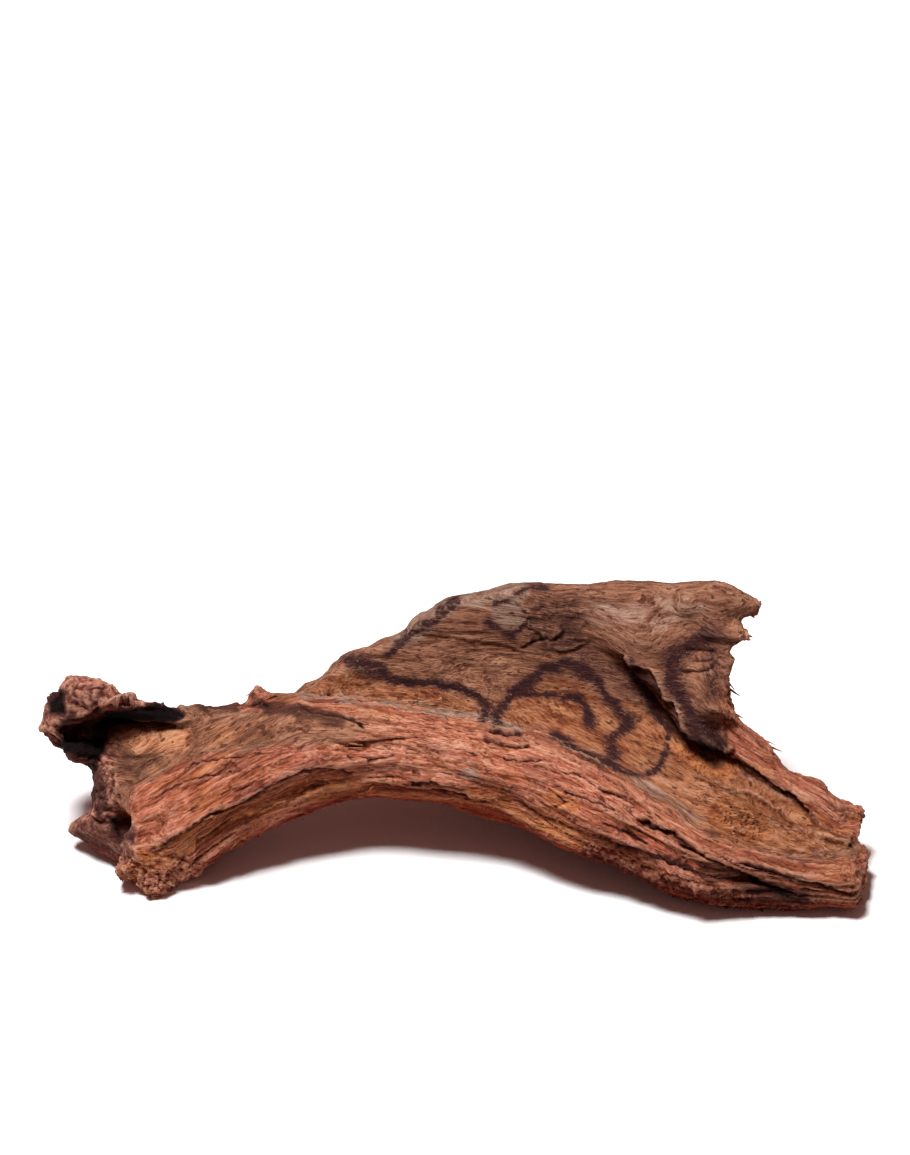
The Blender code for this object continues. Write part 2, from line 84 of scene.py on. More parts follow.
lens = bpy.data.cameras.new("lens")
lens.sensor_width = 36
lens.lens = lens.sensor_width * CAMERA_DISTANCE / MM / (PICTURE[1] * PICTURE_MM_PER_PIXEL)
camera = bpy.data.objects.new("camera", lens)
bpy.context.scene.collection.objects.link(camera)
camera.location = middle + toward_camera * CAMERA_DISTANCE
camera.rotation_mode = "QUATERNION"
camera.rotation_quaternion = (aim - camera.location).to_track_quat("-Z", "Y")
bpy.context.scene.camera = camera
bpy.context.view_layer.update()
WORLD_TO_CAMERA = np.array(camera.matrix_world.inverted())
FOCAL_PIXELS = lens.lens / lens.sensor_width * PICTURE[1]


def seen_at(points):
    """Where points, in metres, are seen in the 910 by 1155 picture."""
    local = points @ WORLD_TO_CAMERA[:3, :3].T + WORLD_TO_CAMERA[:3, 3]
    across = PICTURE[0] / 2 + local[:, 0] / -local[:, 2] * FOCAL_PIXELS
    down = PICTURE[1] / 2 - local[:, 1] / -local[:, 2] * FOCAL_PIXELS
    return np.stack([across, down], 1)


def ray_through(x, y):
    """The direction from the camera through a place in the picture."""
    local = ((x - PICTURE[0] / 2) / FOCAL_PIXELS, (PICTURE[1] / 2 - y) / FOCAL_PIXELS, -1)
    return (camera.matrix_world.to_3x3() @ Vector(local)).normalized()


print("focal length, mm:", round(lens.lens, 2))

# %% [markdown]
# Old wood shows its grain as ridges that run with the branch, and no two ridges are alike. A
# repeatable noise gives that: random slopes on a lattice, blended smoothly. It is written out here,
# because Blender's own noise can't be read for a whole array of points at once.

# %% Noise
SLOPES = np.array([
    (1, 1, 0), (-1, 1, 0), (1, -1, 0), (-1, -1, 0), (1, 0, 1), (-1, 0, 1), (1, 0, -1), (-1, 0, -1),
    (0, 1, 1), (0, -1, 1), (0, 1, -1), (0, -1, -1), (1, 1, 0), (-1, 1, 0), (0, -1, 1), (0, -1, -1),
], float)


def lattice(cell, seed):
    """A repeatable whole number for each lattice cell."""
    key = cell[:, 0] * 73856093 ^ cell[:, 1] * 19349663 ^ cell[:, 2] * 83492791 ^ seed * 2654435761
    key = (key ^ (key >> 13)) * 1274126177 & 0xFFFFFFFF
    return (key ^ (key >> 15)) & 0xFFFFFFFF


def noise(points, seed):
    """Smooth noise of about -1 to 1, one lump to a unit of length."""
    cell = np.floor(points).astype(np.int64)
    part = points - cell
    ease = part ** 3 * (part * (part * 6 - 15) + 10)
    total = np.zeros(len(points))
    for corner in itertools.product((0, 1), repeat=3):
        weight = np.prod(np.where(corner, ease, 1 - ease), axis=1)
        slope = SLOPES[lattice(cell + corner, seed) & 15]
        total += weight * np.sum(slope * (part - corner), axis=1)
    return total * 1.4


def layered(points, seed, layers=3, fade=0.5):
    """Several sizes of noise on top of each other."""
    total, weight, size = 0.0, 1.0, 1.0
    for layer in range(layers):
        total = total + weight * noise(points * size, seed + 17 * layer)
        weight, size = weight * fade, size * 2.03
    return total


def step(low, high, values):
    """0 below low, 1 above high, eased between."""
    share = np.clip((values - low) / (high - low), 0, 1)
    return share * share * (3 - 2 * share)


print("lattice slopes:", len(SLOPES))

# %% [markdown]
# Cracks, stains and changes of colour have places of their own on this piece. They are drawn as
# lines and outlines in the picture, in its pixels. Each gives every point of the wood a distance,
# and an eased distance becomes the mark.

# %% Drawing helpers
def to_line(spots, line):
    """Distance from each seen spot to a drawn line, how far along it is, and on which side.

    Distances are in pixels. Below a line drawn from left to right is its positive side."""
    line = np.array(line, float)
    nearest = np.full(len(spots), 1e9)
    share = np.zeros(len(spots))
    side = np.zeros(len(spots))
    for index in range(len(line) - 1):
        start, run = line[index], line[index + 1] - line[index]
        along = np.clip((spots - start) @ run / max(run @ run, 1e-9), 0, 1)
        away = np.hypot(*(spots - start - along[:, None] * run).T)
        closer = away < nearest
        nearest = np.where(closer, away, nearest)
        share = np.where(closer, (index + along) / (len(line) - 1), share)
        across = (run[0] * (spots[:, 1] - start[1]) - run[1] * (spots[:, 0] - start[0]))
        side = np.where(closer, across / max(np.hypot(*run), 1e-9), side)
    return nearest, share, side


def within(spots, outline, soft):
    """1 inside an outline drawn in pixels and 0 outside, with an edge soft pixels wide."""
    outline = np.array(outline, float)
    inside = np.zeros(len(spots), bool)
    x, y = spots.T
    for (ax, ay), (bx, by) in zip(outline, np.roll(outline, -1, axis=0)):
        crosses = (ay > y) != (by > y)
        level = (bx - ax) * (y - ay) / (by - ay if by != ay else 1e-9) + ax
        inside ^= crosses & (x < level)
    edge = to_line(spots, np.vstack([outline, outline[:1]]))[0]
    return step(-soft, soft, np.where(inside, edge, -edge))


def ledge(spots, line, fade):
    """1 just above a drawn line and -1 just below it, fading away over fade pixels."""
    away, share, side = to_line(spots, line)
    return -np.clip(side / 0.9, -1, 1) * np.exp(-away / fade) * step(0, 0.06, share) * step(1, 0.94, share)


def brushed(spots, line, half_width, soft):
    """1 on a brush stroke drawn in pixels, easing to 0 over soft pixels beside it."""
    return 1 - step(half_width, half_width + soft, to_line(spots, line)[0])


def painted(spots, marks, base=0.0):
    """The sum of marks, held between 0 and 1.

    (strength, outline, soft) fills an outline, (strength, line, half width, soft) is a stroke."""
    total = base
    for strength, shape, *widths in marks:
        draw = within if len(widths) == 1 else brushed
        total = total + strength * draw(spots, shape, *widths)
    return np.clip(total, 0, 1)


print("drawing helpers: to_line, within, ledge, brushed, painted")

# %% [markdown]
# The skin starts as a copy of the solid. Its flat facets are rounded by subdivision, and a fine
# voxel remesh then gives even faces small enough to carry grain. The finished skin is thinned
# again at the end, so that smooth places spend few triangles and split ones keep many. The wall
# behind the knob's hollow is thin enough to tear, so a ball of wood is sunk in it first, and the
# remesh makes the two one.

# %% Base skin
VOXEL = 0.62 * MM
ROUNDING_LOSS = 0.4 * MM
THIN_WALL_AT = (99, 741)
BALL_RADIUS = 5.5 * MM
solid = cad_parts["driftwood"]
skin_mesh = solid.data.copy()
merged = bmesh.new()
merged.from_mesh(skin_mesh)
bmesh.ops.remove_doubles(merged, verts=merged.verts, dist=1e-6)
thin_wall = BVHTree.FromBMesh(merged).ray_cast(camera.location, ray_through(*THIN_WALL_AT), 3)[0]
bmesh.ops.create_icosphere(merged, subdivisions=2, radius=BALL_RADIUS,
                           matrix=Matrix.Translation(thin_wall - toward_camera * BALL_RADIUS * 0.5))
merged.to_mesh(skin_mesh)
merged.free()
skin = bpy.data.objects.new("driftwood_skin", skin_mesh)
bpy.context.scene.collection.objects.link(skin)


def settle(piece, *modifiers):
    """Adds modifiers given as (kind, settings), keeps their result as the piece's plain mesh."""
    for kind, settings in modifiers:
        modifier = piece.modifiers.new(kind.lower(), kind)
        for name, value in settings.items():
            setattr(modifier, name, value)
    depsgraph = bpy.context.evaluated_depsgraph_get()
    result = bpy.data.meshes.new_from_object(piece.evaluated_get(depsgraph))
    piece.modifiers.clear()
    piece.data = result
    return piece


settle(skin, ("SUBSURF", {"levels": 1, "render_levels": 1}),
       ("DISPLACE", {"strength": ROUNDING_LOSS, "mid_level": 0.0}),
       ("REMESH", {"mode": "VOXEL", "voxel_size": VOXEL}),
       ("SMOOTH", {"iterations": 3, "factor": 0.5}))
print("base skin:", len(skin.data.vertices), "points")

# %% [markdown]
# Thousands of points are quicker to work on as one array than one by one. These helpers read a
# mesh into an array and keep an array on the mesh as a named attribute for the material.

# %% Reading and storing values
def read_points(mesh):
    """The mesh's points as an array, in metres."""
    values = np.empty(len(mesh.vertices) * 3, np.float32)
    mesh.vertices.foreach_get("co", values)
    return values.reshape(-1, 3).astype(float)


def read_normals(mesh):
    """The direction that the surface faces at each point."""
    values = np.empty(len(mesh.vertices) * 3, np.float32)
    mesh.vertex_normals.foreach_get("vector", values)
    return values.reshape(-1, 3).astype(float)


def store(mesh, name, values):
    """Keeps one number or one triple for each point as a named attribute."""
    kind, field = ("FLOAT", "value") if values.ndim == 1 else ("FLOAT_VECTOR", "vector")
    layer = mesh.attributes.get(name) or mesh.attributes.new(name, kind, "POINT")
    layer.data.foreach_set(field, values.astype(np.float32).ravel())


def put_points(mesh, values):
    """Moves the mesh's points to places in metres."""
    mesh.vertices.foreach_set("co", values.astype(np.float32).ravel())
    mesh.update()


print("points read:", read_points(skin.data).shape)

# %% [markdown]
# Blending each point with its neighbours smooths a value over the surface. The difference between
# a point and that average tells a ridge from a hollow, which several steps below ask for.

# %% Neighbours
edges = np.empty(len(skin.data.edges) * 2, np.int32)
skin.data.edges.foreach_get("vertices", edges)
edges = edges.reshape(-1, 2)
neighbour_count = np.bincount(edges.ravel(), minlength=len(skin.data.vertices))


def averaged(values, rounds):
    """Each value blended with those of its neighbours, several times over."""
    for _ in range(rounds):
        total = np.zeros_like(values)
        for axis in range(values.shape[1]):
            total[:, axis] = (
                np.bincount(edges[:, 0], values[edges[:, 1], axis], len(values))
                + np.bincount(edges[:, 1], values[edges[:, 0], axis], len(values)))
        values = total / neighbour_count[:, None]
    return values


print("edges:", len(edges))

# %% [markdown]
# The solid's outline is a little rounder than the real one in places. A nudge moves the points
# round a place in the picture a few pixels across, up or nearer, and fades out over its radius.

# %% Nudged outline
# Each nudge is a place in the picture, a radius, and how far across, up and nearer, all in pixels.
NUDGES = [
    ((727, 592), 30, (0, 8, 0)), ((352, 657), 20, (0, 7, 0)), ((607, 868), 28, (0, 9, 0)),
    ((450, 604), 14, (0, 4, 0)), ((52, 690), 12, (2, -5, 0)), ((122, 689), 14, (0, -6, 0)),
    ((178, 704), 14, (0, -6, 0)), ((244, 697), 7, (0, -7, 0)), ((256, 692), 7, (0, 5, 0)),
    ((836, 905), 20, (0, 6, 0)), ((60, 750), 10, (4, 3, 0)),
    ((140, 696), 24, (0, -6, 0)), ((250, 688), 8, (0, -5, 0)), ((398, 630), 14, (0, -6, 0)),
    ((128, 890), 16, (0, 8, 0)), ((66, 750), 14, (0, -7, 0)), ((640, 885), 36, (0, 7, 0)),
    ((790, 768), 24, (0, -4, 0)), ((845, 790), 14, (-5, -4, 0)),
    ((862, 842), 10, (-12, 0, 0)), ((640, 645), 18, (0, 0, 4)), ((650, 715), 16, (0, 0, -6)),
]
FLOOR_GAP = 0.02
picture_right = np.array([1.0, 0.0, 0.0])
points = read_points(skin.data) / MM
spots = seen_at(points * MM)
for (x, y), radius, (across, up, nearer) in NUDGES:
    pull = np.exp(-((spots[:, 0] - x) ** 2 + (spots[:, 1] - y) ** 2) / radius ** 2)
    shift = across * picture_right + up * np.array(picture_up) + nearer * np.array(toward_camera)
    points += pull[:, None] * shift * PICTURE_MM_PER_PIXEL
points[:, 2] = np.maximum(points[:, 2], FLOOR_GAP)
put_points(skin.data, points * MM)
print("nudges:", len(NUDGES))

# %% [markdown]
# Some places are found by looking: a ray from the camera through a place in the picture meets the
# wood somewhere, and a ray from the wood back to the camera tells whether anything hides it.

# %% Looking from the camera
CLEAR_OF_SKIN = 0.8
CLEAR_TO_EYE = 0.4
REACH_TO_EYE = 400
REACH_FROM_EYE = 3000
eye = np.array(camera.location) / MM
toward = np.array(toward_camera)


def look_at(points):
    """Normals, places in the picture and a ray tree for points in millimetres."""
    put_points(skin.data, points * MM)
    tree_now = BVHTree.FromPolygons(
        [Vector(p) for p in points], [tuple(f.vertices) for f in skin.data.polygons])
    return read_normals(skin.data), seen_at(points * MM), tree_now


def touched(line):
    """Where the drawn places lie on the wood, in millimetres, in order of their x."""
    found = []
    for x, y in line:
        place = skin_tree.ray_cast(Vector(eye), ray_through(x, y), REACH_FROM_EYE)[0]
        if place is not None:
            found.append(place)
    return np.array(sorted(tuple(p) for p in found))


def in_view(chosen):
    """1 for each chosen point that nothing hides from the camera."""
    seen = np.zeros(len(points))
    for index in np.nonzero(chosen)[0]:
        spot = Vector(points[index])
        reach = Vector(eye) - spot
        start = spot + Vector(normals[index]) * CLEAR_OF_SKIN + reach.normalized() * CLEAR_TO_EYE
        if skin_tree.ray_cast(start, reach.normalized(), REACH_TO_EYE)[0] is None:
            seen[index] = 1
    return seen


print("eye, mm:", eye.round(1))

# %% [markdown]
# The big hollow beside the knob is broader in the solid than on the real wood. It is filled up to
# the level of the wood round it, except for a dark slot under the brow. The level is a plane laid
# through the hollow's lower edge, which leans back towards the slot.

# %% Filled hollow
HOLLOW_OUTLINE = [(104, 728), (118, 720), (150, 722), (176, 724), (196, 716), (204, 728), (198, 748),
                  (180, 758), (150, 760), (122, 760), (104, 752)]
HOLLOW_EDGE = [(118, 764), (135, 764), (150, 762), (165, 762), (182, 760), (200, 750), (208, 738),
               (210, 722), (100, 764)]
LEAN_BACK = 0.10
SLOT_OUTLINE = [(106, 714), (122, 709), (140, 706), (174, 711), (184, 717), (174, 722), (150, 721),
                (118, 723)]
SLOT_DEPTH = 4.0
LEAN_FROM = 742
MOST_FILLED = 30
normals, spots, skin_tree = look_at(points)
edge = touched(HOLLOW_EDGE)
edge_spots = seen_at(edge * MM)
plane = np.linalg.lstsq(
    np.column_stack([np.ones(len(edge)), edge_spots]), edge @ toward, rcond=None)[0]
hollow_share = within(spots, HOLLOW_OUTLINE, 7)
hollow_share *= in_view((hollow_share > 0) & (normals @ toward > -0.2))
hollow_share = averaged(hollow_share[:, None], 3)[:, 0]
level_wanted = plane[0] + spots @ plane[1:] - LEAN_BACK * np.maximum(LEAN_FROM - spots[:, 1], 0)
lack = np.clip(level_wanted - points @ toward, 0, MOST_FILLED)
points += (hollow_share * lack)[:, None] * toward
slot_share = within(spots, SLOT_OUTLINE, 3) * in_view(within(spots, SLOT_OUTLINE, 3) > 0)
points -= (slot_share * SLOT_DEPTH)[:, None] * toward
points = points + (averaged(points, 6) - points) * step(0, 0.2, hollow_share)[:, None]
print("hollow filled by, mm:", round(float((hollow_share * lack).max()), 1))

# %% [markdown]
# Wood fibre follows the branch it grew in. Three lines are drawn in the picture: one along the foot
# of the beam, one along its crest and one along the top of the standing sheet. Rays from the camera
# find where they lie on the wood. Between two lines a point's height is counted as a share of the
# way from one to the next, so a level of that count bends with the arch below and runs level at the
# top. Noise stretched along the first coordinate then looks like grain. The reddish strip at the
# right has a line of its own.

# %% Grain coordinates
BEAM_FOOT = [(150, 880), (172, 880), (200, 860), (240, 832), (280, 812), (320, 800), (360, 794),
             (400, 792), (440, 796), (480, 806), (520, 818), (560, 836), (600, 850), (640, 868),
             (680, 886), (720, 893), (780, 894), (840, 900)]
BEAM_CREST = [(135, 792), (160, 776), (205, 752), (262, 716), (300, 702), (352, 706), (400, 712),
              (440, 719), (480, 726), (520, 736), (560, 750), (605, 772), (650, 803), (700, 836),
              (748, 854), (800, 872), (845, 880)]
SHEET_TOP = [(345, 668), (400, 640), (450, 612), (500, 600), (560, 596), (640, 594), (700, 594),
             (736, 604)]
STRIP_LINE = [(706, 690), (715, 715), (729, 745), (745, 755), (760, 765), (780, 775), (800, 790),
              (820, 800), (840, 815)]
BEAM_TALL = 22.0
SHEET_TALL = 40.0

normals, spots, skin_tree = look_at(points)


def follow(line, x):
    """The y and z of a touched line at each x."""
    return np.interp(x, line[:, 0], line[:, 1]), np.interp(x, line[:, 0], line[:, 2])


foot_y, foot_z = follow(touched(BEAM_FOOT), points[:, 0])
crest_y, crest_z = follow(touched(BEAM_CREST), points[:, 0])
top_y, top_z = follow(touched(SHEET_TOP), points[:, 0])
low = (points[:, 2] - foot_z) / np.maximum(crest_z - foot_z, 8)
high = (points[:, 2] - crest_z) / np.maximum(top_z - crest_z, 30)
level = np.where(low < 1, low * BEAM_TALL, BEAM_TALL + high * SHEET_TALL)
low, high = np.clip(low, 0, 1), np.clip(high, 0, 1)
plan = foot_y + (crest_y - foot_y) * low + (top_y - crest_y) * high
grain = np.stack([points[:, 0], points[:, 1] - plan, level], 1)

STRIP_OUTLINE = [(704, 684), (716, 690), (722, 720), (730, 757), (748, 770), (773, 783), (795, 795),
                 (810, 810), (820, 828), (852, 842), (880, 840), (880, 780), (760, 700), (740, 670)]
strip = within(spots, STRIP_OUTLINE, 1.0)
strip_y, strip_z = follow(touched(STRIP_LINE), points[:, 0])
strip_grain = np.stack([points[:, 0], points[:, 1] - strip_y, points[:, 2] - strip_z], 1)
grain = np.where(strip[:, None] > 0.5, strip_grain, grain)
print("points on the strip:", int((strip > 0.5).sum()))

# %% [markdown]
# Splinters lie along the fibre, so its direction is needed too. It is the slope of the same lines,
# mixed in the same shares. A point that stands out from a wide average of its neighbours lies on a
# sharp edge, where the wood is torn.

# %% Fibre direction and sharp edges
SLOPE_REACH = 3


def slope(line, x):
    """How fast a touched line rises in y and z for each millimetre of x."""
    ahead, behind = follow(line, x + SLOPE_REACH), follow(line, x - SLOPE_REACH)
    return np.stack([(ahead[0] - behind[0]) / (2 * SLOPE_REACH),
                     (ahead[1] - behind[1]) / (2 * SLOPE_REACH)], 1)


foot_run, crest_run, top_run, strip_run = (
    slope(touched(line), points[:, 0]) for line in (BEAM_FOOT, BEAM_CREST, SHEET_TOP, STRIP_LINE))
run = foot_run + (crest_run - foot_run) * low[:, None] + (top_run - crest_run) * high[:, None]
run = np.where(strip[:, None] > 0.5, strip_run, run)
fibre_way = np.hstack([np.ones((len(points), 1)), run])
fibre_way /= np.linalg.norm(fibre_way, axis=1)[:, None]
edge_round = ((points - averaged(points, 14)) * normals).sum(1)
sharp_edge = step(0.25, 0.9, edge_round)
facing = normals @ toward
print("points facing the camera:", int((facing > 0).sum()))

# %% [markdown]
# The beam's outer wood is red and flaky, the standing sheet and the trough are smooth tan heartwood,
# and the lower rim crumbles. Each of these is an outline drawn where it is seen, with its spots
# shaken a little by noise first so that no border is a clean line. What the camera doesn't see
# gets the wood that would be there.

# %% Kinds of wood
WING_OUTLINE = [(270, 700), (300, 693), (352, 696), (400, 704), (440, 712), (480, 719), (518, 728),
                (549, 735), (574, 748), (605, 762), (628, 781), (651, 797), (673, 812), (696, 828),
                (718, 841), (748, 847), (786, 857), (815, 863), (850, 858), (868, 850), (850, 840),
                (820, 826), (810, 810), (795, 795), (773, 783), (748, 770), (730, 757), (722, 720),
                (716, 690), (780, 640), (780, 560), (450, 560), (290, 660)]
NECK_OUTLINE = [(40, 690), (180, 700), (262, 712), (296, 708), (352, 718), (372, 731), (345, 744),
                (285, 744), (240, 749), (205, 754), (180, 764), (160, 778), (140, 785), (131, 792),
                (126, 812), (134, 830), (130, 862), (60, 862), (30, 760)]
LOWER_RIM = [(140, 866), (165, 857), (200, 834), (222, 822), (256, 806), (292, 792), (330, 788),
             (410, 792), (470, 804), (540, 826), (575, 838)]
KNOB_OUTLINE = [(30, 660), (118, 660), (150, 690), (180, 706), (112, 716), (116, 790), (120, 812),
                (136, 822), (134, 862), (60, 862), (84, 800), (60, 760), (30, 760)]
FRINGE = [(588, 856), (610, 862), (640, 880), (690, 900), (745, 906), (800, 905)]

shake = np.stack([noise(grain / (9, 4, 4), 31), noise(grain / (9, 4, 4), 32)], 1)
shaken = spots + shake * 4
heartwood = np.clip(within(shaken, WING_OUTLINE, 1.5) + within(shaken, NECK_OUTLINE, 5), 0, 1)
heartwood = heartwood * (1 - strip)
red = np.clip(1 - heartwood, 0, 1)
rim = brushed(shaken, LOWER_RIM, 6, 10) * red
knobby = within(shaken, KNOB_OUTLINE, 4)
fringe = brushed(shaken, FRINGE, 6, 8) * red
crumb = painted(shaken, [
    (1, [(588, 850), (640, 872), (700, 893), (745, 899)], 5, 8),
    (1, [(128, 868), (150, 880), (170, 880), (195, 868)], 10, 8),
    (1, [(719, 809), (745, 806), (762, 822), (757, 842), (735, 838), (722, 826)], 4),
])
print("share of red wood:", round(float(red.mean()), 2))

# %% [markdown]
# The cracks that mark this piece are drawn as lines, because noise would put them anywhere. The
# longest run down the right of the beam, where the root dried fastest.

# %% Cracks
# Each crack is a line, its half width in pixels and its depth in millimetres.
CRACKS = [
    ([(154, 848), (170, 842), (200, 822), (210, 814), (230, 810), (256, 796), (270, 787), (292, 777),
      (304, 771), (330, 769), (360, 774)], 1.8, 1.6),
    ([(366, 762), (380, 758), (396, 754)], 1.3, 0.9),
    ([(410, 783), (440, 783)], 1.3, 0.9),
    ([(430, 787), (450, 792), (470, 798)], 1.6, 1.1),
    ([(488, 730), (505, 734), (524, 734)], 1.8, 1.5),
    ([(480, 738), (500, 744), (520, 748), (533, 745)], 1.4, 1.0),
    ([(296, 702), (308, 710), (328, 714), (352, 718), (368, 730)], 1.8, 1.2),
    ([(634, 818), (672, 832), (706, 858), (753, 881), (801, 895)], 2.4, 2.0),
    ([(739, 862), (787, 876), (852, 895)], 2.2, 1.9),
    ([(674, 839), (723, 868), (764, 886), (801, 892)], 1.8, 1.4),
    ([(612, 846), (631, 850), (660, 856), (700, 872)], 4.0, 2.4),
    ([(729, 758), (748, 767), (769, 781), (783, 791), (801, 800)], 1.6, 1.3),
    ([(520, 648), (540, 640), (562, 638), (564, 629)], 2.2, 1.2),
    ([(91, 689), (100, 688), (108, 689)], 1.2, 0.9),
    ([(190, 868), (215, 845), (240, 830)], 1.3, 0.8),
    ([(684, 650), (700, 649), (717, 652)], 1.3, 0.9),
    ([(690, 660), (703, 661), (716, 659)], 1.1, 0.7),
    ([(680, 671), (700, 671), (718, 668)], 1.4, 1.0),
    ([(84, 720), (98, 712), (118, 705), (140, 702)], 2.2, 1.6),
    ([(500, 757), (520, 762), (545, 760)], 1.2, 0.8),
    ([(560, 790), (590, 800), (620, 812)], 1.4, 1.0),
    ([(600, 822), (625, 832), (650, 846)], 1.5, 1.0),
    ([(182, 770), (200, 762), (222, 757), (245, 758)], 1.1, 0.8),
    ([(150, 800), (175, 786), (205, 776), (240, 770)], 1.0, 0.6),
]
print("cracks:", len(CRACKS))

# %% [markdown]
# A few thin lips and fibres stand up from the wood, round the brow and along the strip.

# %% Small ridges
# Each ridge is a line, its half width in pixels and its height in millimetres.
SMALL_RIDGES = [
    ([(78, 716), (97, 706), (118, 700), (139, 696)], 2.6, 1.1),
    ([(71, 689), (73, 702), (67, 715)], 2.2, 0.9),
    ([(45, 728), (54, 731), (61, 736)], 2.6, 1.0),
    ([(97, 815), (104, 817), (111, 825)], 2.2, 1.0),
    ([(90, 684), (100, 684), (112, 686)], 2.2, 0.9),
    ([(134, 822), (136, 840), (135, 852)], 1.8, 0.7),
    ([(718, 786), (733, 791), (748, 791), (764, 800), (783, 814), (797, 825)], 2.5, 0.7),
    ([(787, 826), (815, 834), (850, 843)], 3.0, 0.8),
    ([(292, 800), (304, 795), (320, 788)], 3.0, 0.9),
    ([(304, 698), (360, 702), (420, 710), (480, 720), (520, 726)], 1.8, 0.6),
]
print("small ridges:", len(SMALL_RIDGES))

# %% [markdown]
# A ledge is the edge of a flake or a layer: the wood stands high above its line and low below.
# The stepped edge of the flap is the longest one.

# %% Ledges
# Each ledge is a line, the pixels over which it fades and its height in millimetres.
LEDGES = [
    ([(622, 652), (630, 666), (650, 670), (658, 685), (662, 700), (673, 702), (677, 713), (682, 732),
      (692, 739), (705, 747), (729, 753), (736, 748)], 10, 1.5),
    ([(74, 720), (84, 714), (97, 706), (118, 703), (140, 699), (165, 703), (188, 714)], 7, 1.8),
    ([(292, 703), (352, 698), (400, 705), (440, 713), (480, 720), (520, 729), (552, 736), (574, 750),
      (605, 764), (628, 785), (651, 799), (673, 815), (696, 830), (718, 843), (748, 849), (786, 858),
      (815, 866)], 6, -0.6),
    ([(722, 748), (728, 756), (748, 770), (773, 783), (795, 795), (809, 810), (820, 830)], 7, 1.0),
    ([(150, 852), (170, 844), (200, 824), (230, 810), (256, 796), (292, 777), (330, 769), (364, 772)],
     14, 0.9),
    ([(712, 782), (730, 790), (752, 795), (783, 814), (800, 827)], 6, 0.5),
    ([(286, 803), (304, 795), (326, 786)], 6, -0.8),
    ([(484, 728), (505, 734), (528, 735)], 8, 0.7),
    ([(474, 737), (500, 744), (520, 748), (537, 744)], 8, 0.7),
    ([(364, 775), (400, 786), (440, 790), (475, 800), (500, 800)], 8, 0.6),
    ([(560, 770), (585, 776), (600, 790), (640, 800), (655, 818)], 7, 0.7),
    ([(630, 816), (672, 832), (706, 858), (753, 881), (805, 897)], 9, 0.9),
    ([(735, 860), (787, 876), (858, 897)], 8, 0.9),
    ([(608, 845), (631, 851), (660, 858), (704, 874)], 9, 1.1),
    ([(786, 826), (815, 836), (852, 845)], 6, 0.8),
    ([(513, 598), (526, 612), (528, 628), (540, 634), (548, 648), (566, 652), (590, 640)], 7, 0.5),
    ([(404, 628), (430, 634), (470, 640), (506, 645), (530, 655)], 9, 0.4),
    ([(180, 790), (215, 776), (250, 768), (296, 762)], 8, 0.4),
    ([(230, 790), (262, 780), (300, 776)], 8, 0.4),
]

visible = in_view(facing > -0.05)
print("ledges:", len(LEDGES), "points in view:", int(visible.sum()))

# %% [markdown]
# The wood doesn't weather evenly. The left of the beam is finely combed, its right is deeply
# grooved, the knob is gnarled, and the wing's right edge and the beam's end are torn. Each of
# these is a share between 0 and 1 that turns a layer of relief up or down.

# %% Where the relief grows
roughness = 0.3 + 0.7 * red
fine_left = within(spots, [(120, 700), (330, 690), (300, 780), (250, 800), (150, 850), (120, 860)], 20)
grooved = within(spots, [(600, 790), (700, 835), (860, 870), (870, 910), (640, 890), (590, 850)], 10)
gnarl = painted(spots, [
    (1, [(36, 668), (118, 668), (122, 700), (108, 716), (96, 760), (36, 762)], 6),
    (1, [(88, 755), (112, 755), (122, 800), (118, 830), (88, 830)], 4),
    (0.7, [(120, 856), (205, 850), (196, 905), (110, 905)], 5),
])
torn = sharp_edge * within(
    spots, [(706, 600), (775, 585), (775, 690), (740, 760), (700, 720), (700, 650)], 6)
blunt = sharp_edge * within(
    spots, [(800, 756), (885, 780), (885, 920), (828, 925), (836, 850), (818, 826)], 5)
rough_patch = within(spots, [(518, 598), (580, 588), (590, 640), (560, 656), (518, 652)], 8)
print("torn edge points:", int((torn > 0.5).sum()))

# %% [markdown]
# Relief comes in layers, as it does on the real wood: broad ridges, fine fibre, flakes that end
# in small steps, and long splits where the wood dried. The red wood gets all of it, the smooth
# heartwood only a little. Heights and lump sizes are millimetres, the first size along the grain.

# %% Layers of relief
relief = 0.50 * layered(grain / (38, 4.6, 4.6), 1, 2) * roughness
relief += 0.36 * layered(grain / (18, 1.7, 1.7), 2, 2) * roughness
flake = noise(grain / (17, 5.0, 5.0), 5) * 3.2 + noise(grain / (4.5, 1.7, 1.7), 6) * 0.6
terrace = np.floor(flake) + step(0.8, 1.0, flake - np.floor(flake)) - flake + 0.5
relief += 0.65 * terrace * step(0.5, 1, red) * (1 - 0.75 * fine_left)
relief += 1.3 * noise(grain / (70, 3.6, 3.6), 28) * grooved
relief += 0.3 * noise(grain / (14, 9, 1.0), 29) * fine_left * red
dryness = step(-0.1, 0.3, noise(grain / (30, 14, 14), 7))
split = np.exp(-(noise(grain / (62, 6.0, 6.0), 8) / 0.055) ** 2) * dryness
relief -= 1.1 * split * (0.1 + 0.9 * red) * (1 - 0.7 * fine_left)
check = np.exp(-(noise(grain / (24, 2.6, 2.6), 11) / 0.10) ** 2)
check *= step(-0.2, 0.3, noise(grain / (16, 7, 7), 12))
relief -= 0.28 * check * (0.3 + 0.7 * red)
relief += (0.9 * noise(points / 2.6, 9) + 0.6 * noise(points / 1.3, 10)) * crumb
relief += (1.2 * noise(points / 7.0, 13) + 0.7 * noise(points / 3.2, 14)) * gnarl
relief -= 0.9 * gnarl * step(0.25, 0.5, noise(points / 2.6, 15))
relief += 0.35 * noise(points / 1.5, 37) * gnarl
relief += (1.1 * noise(points / (6.0, 3.0, 3.0), 16) + 0.5 * noise(points / 1.6, 17)) * sharp_edge
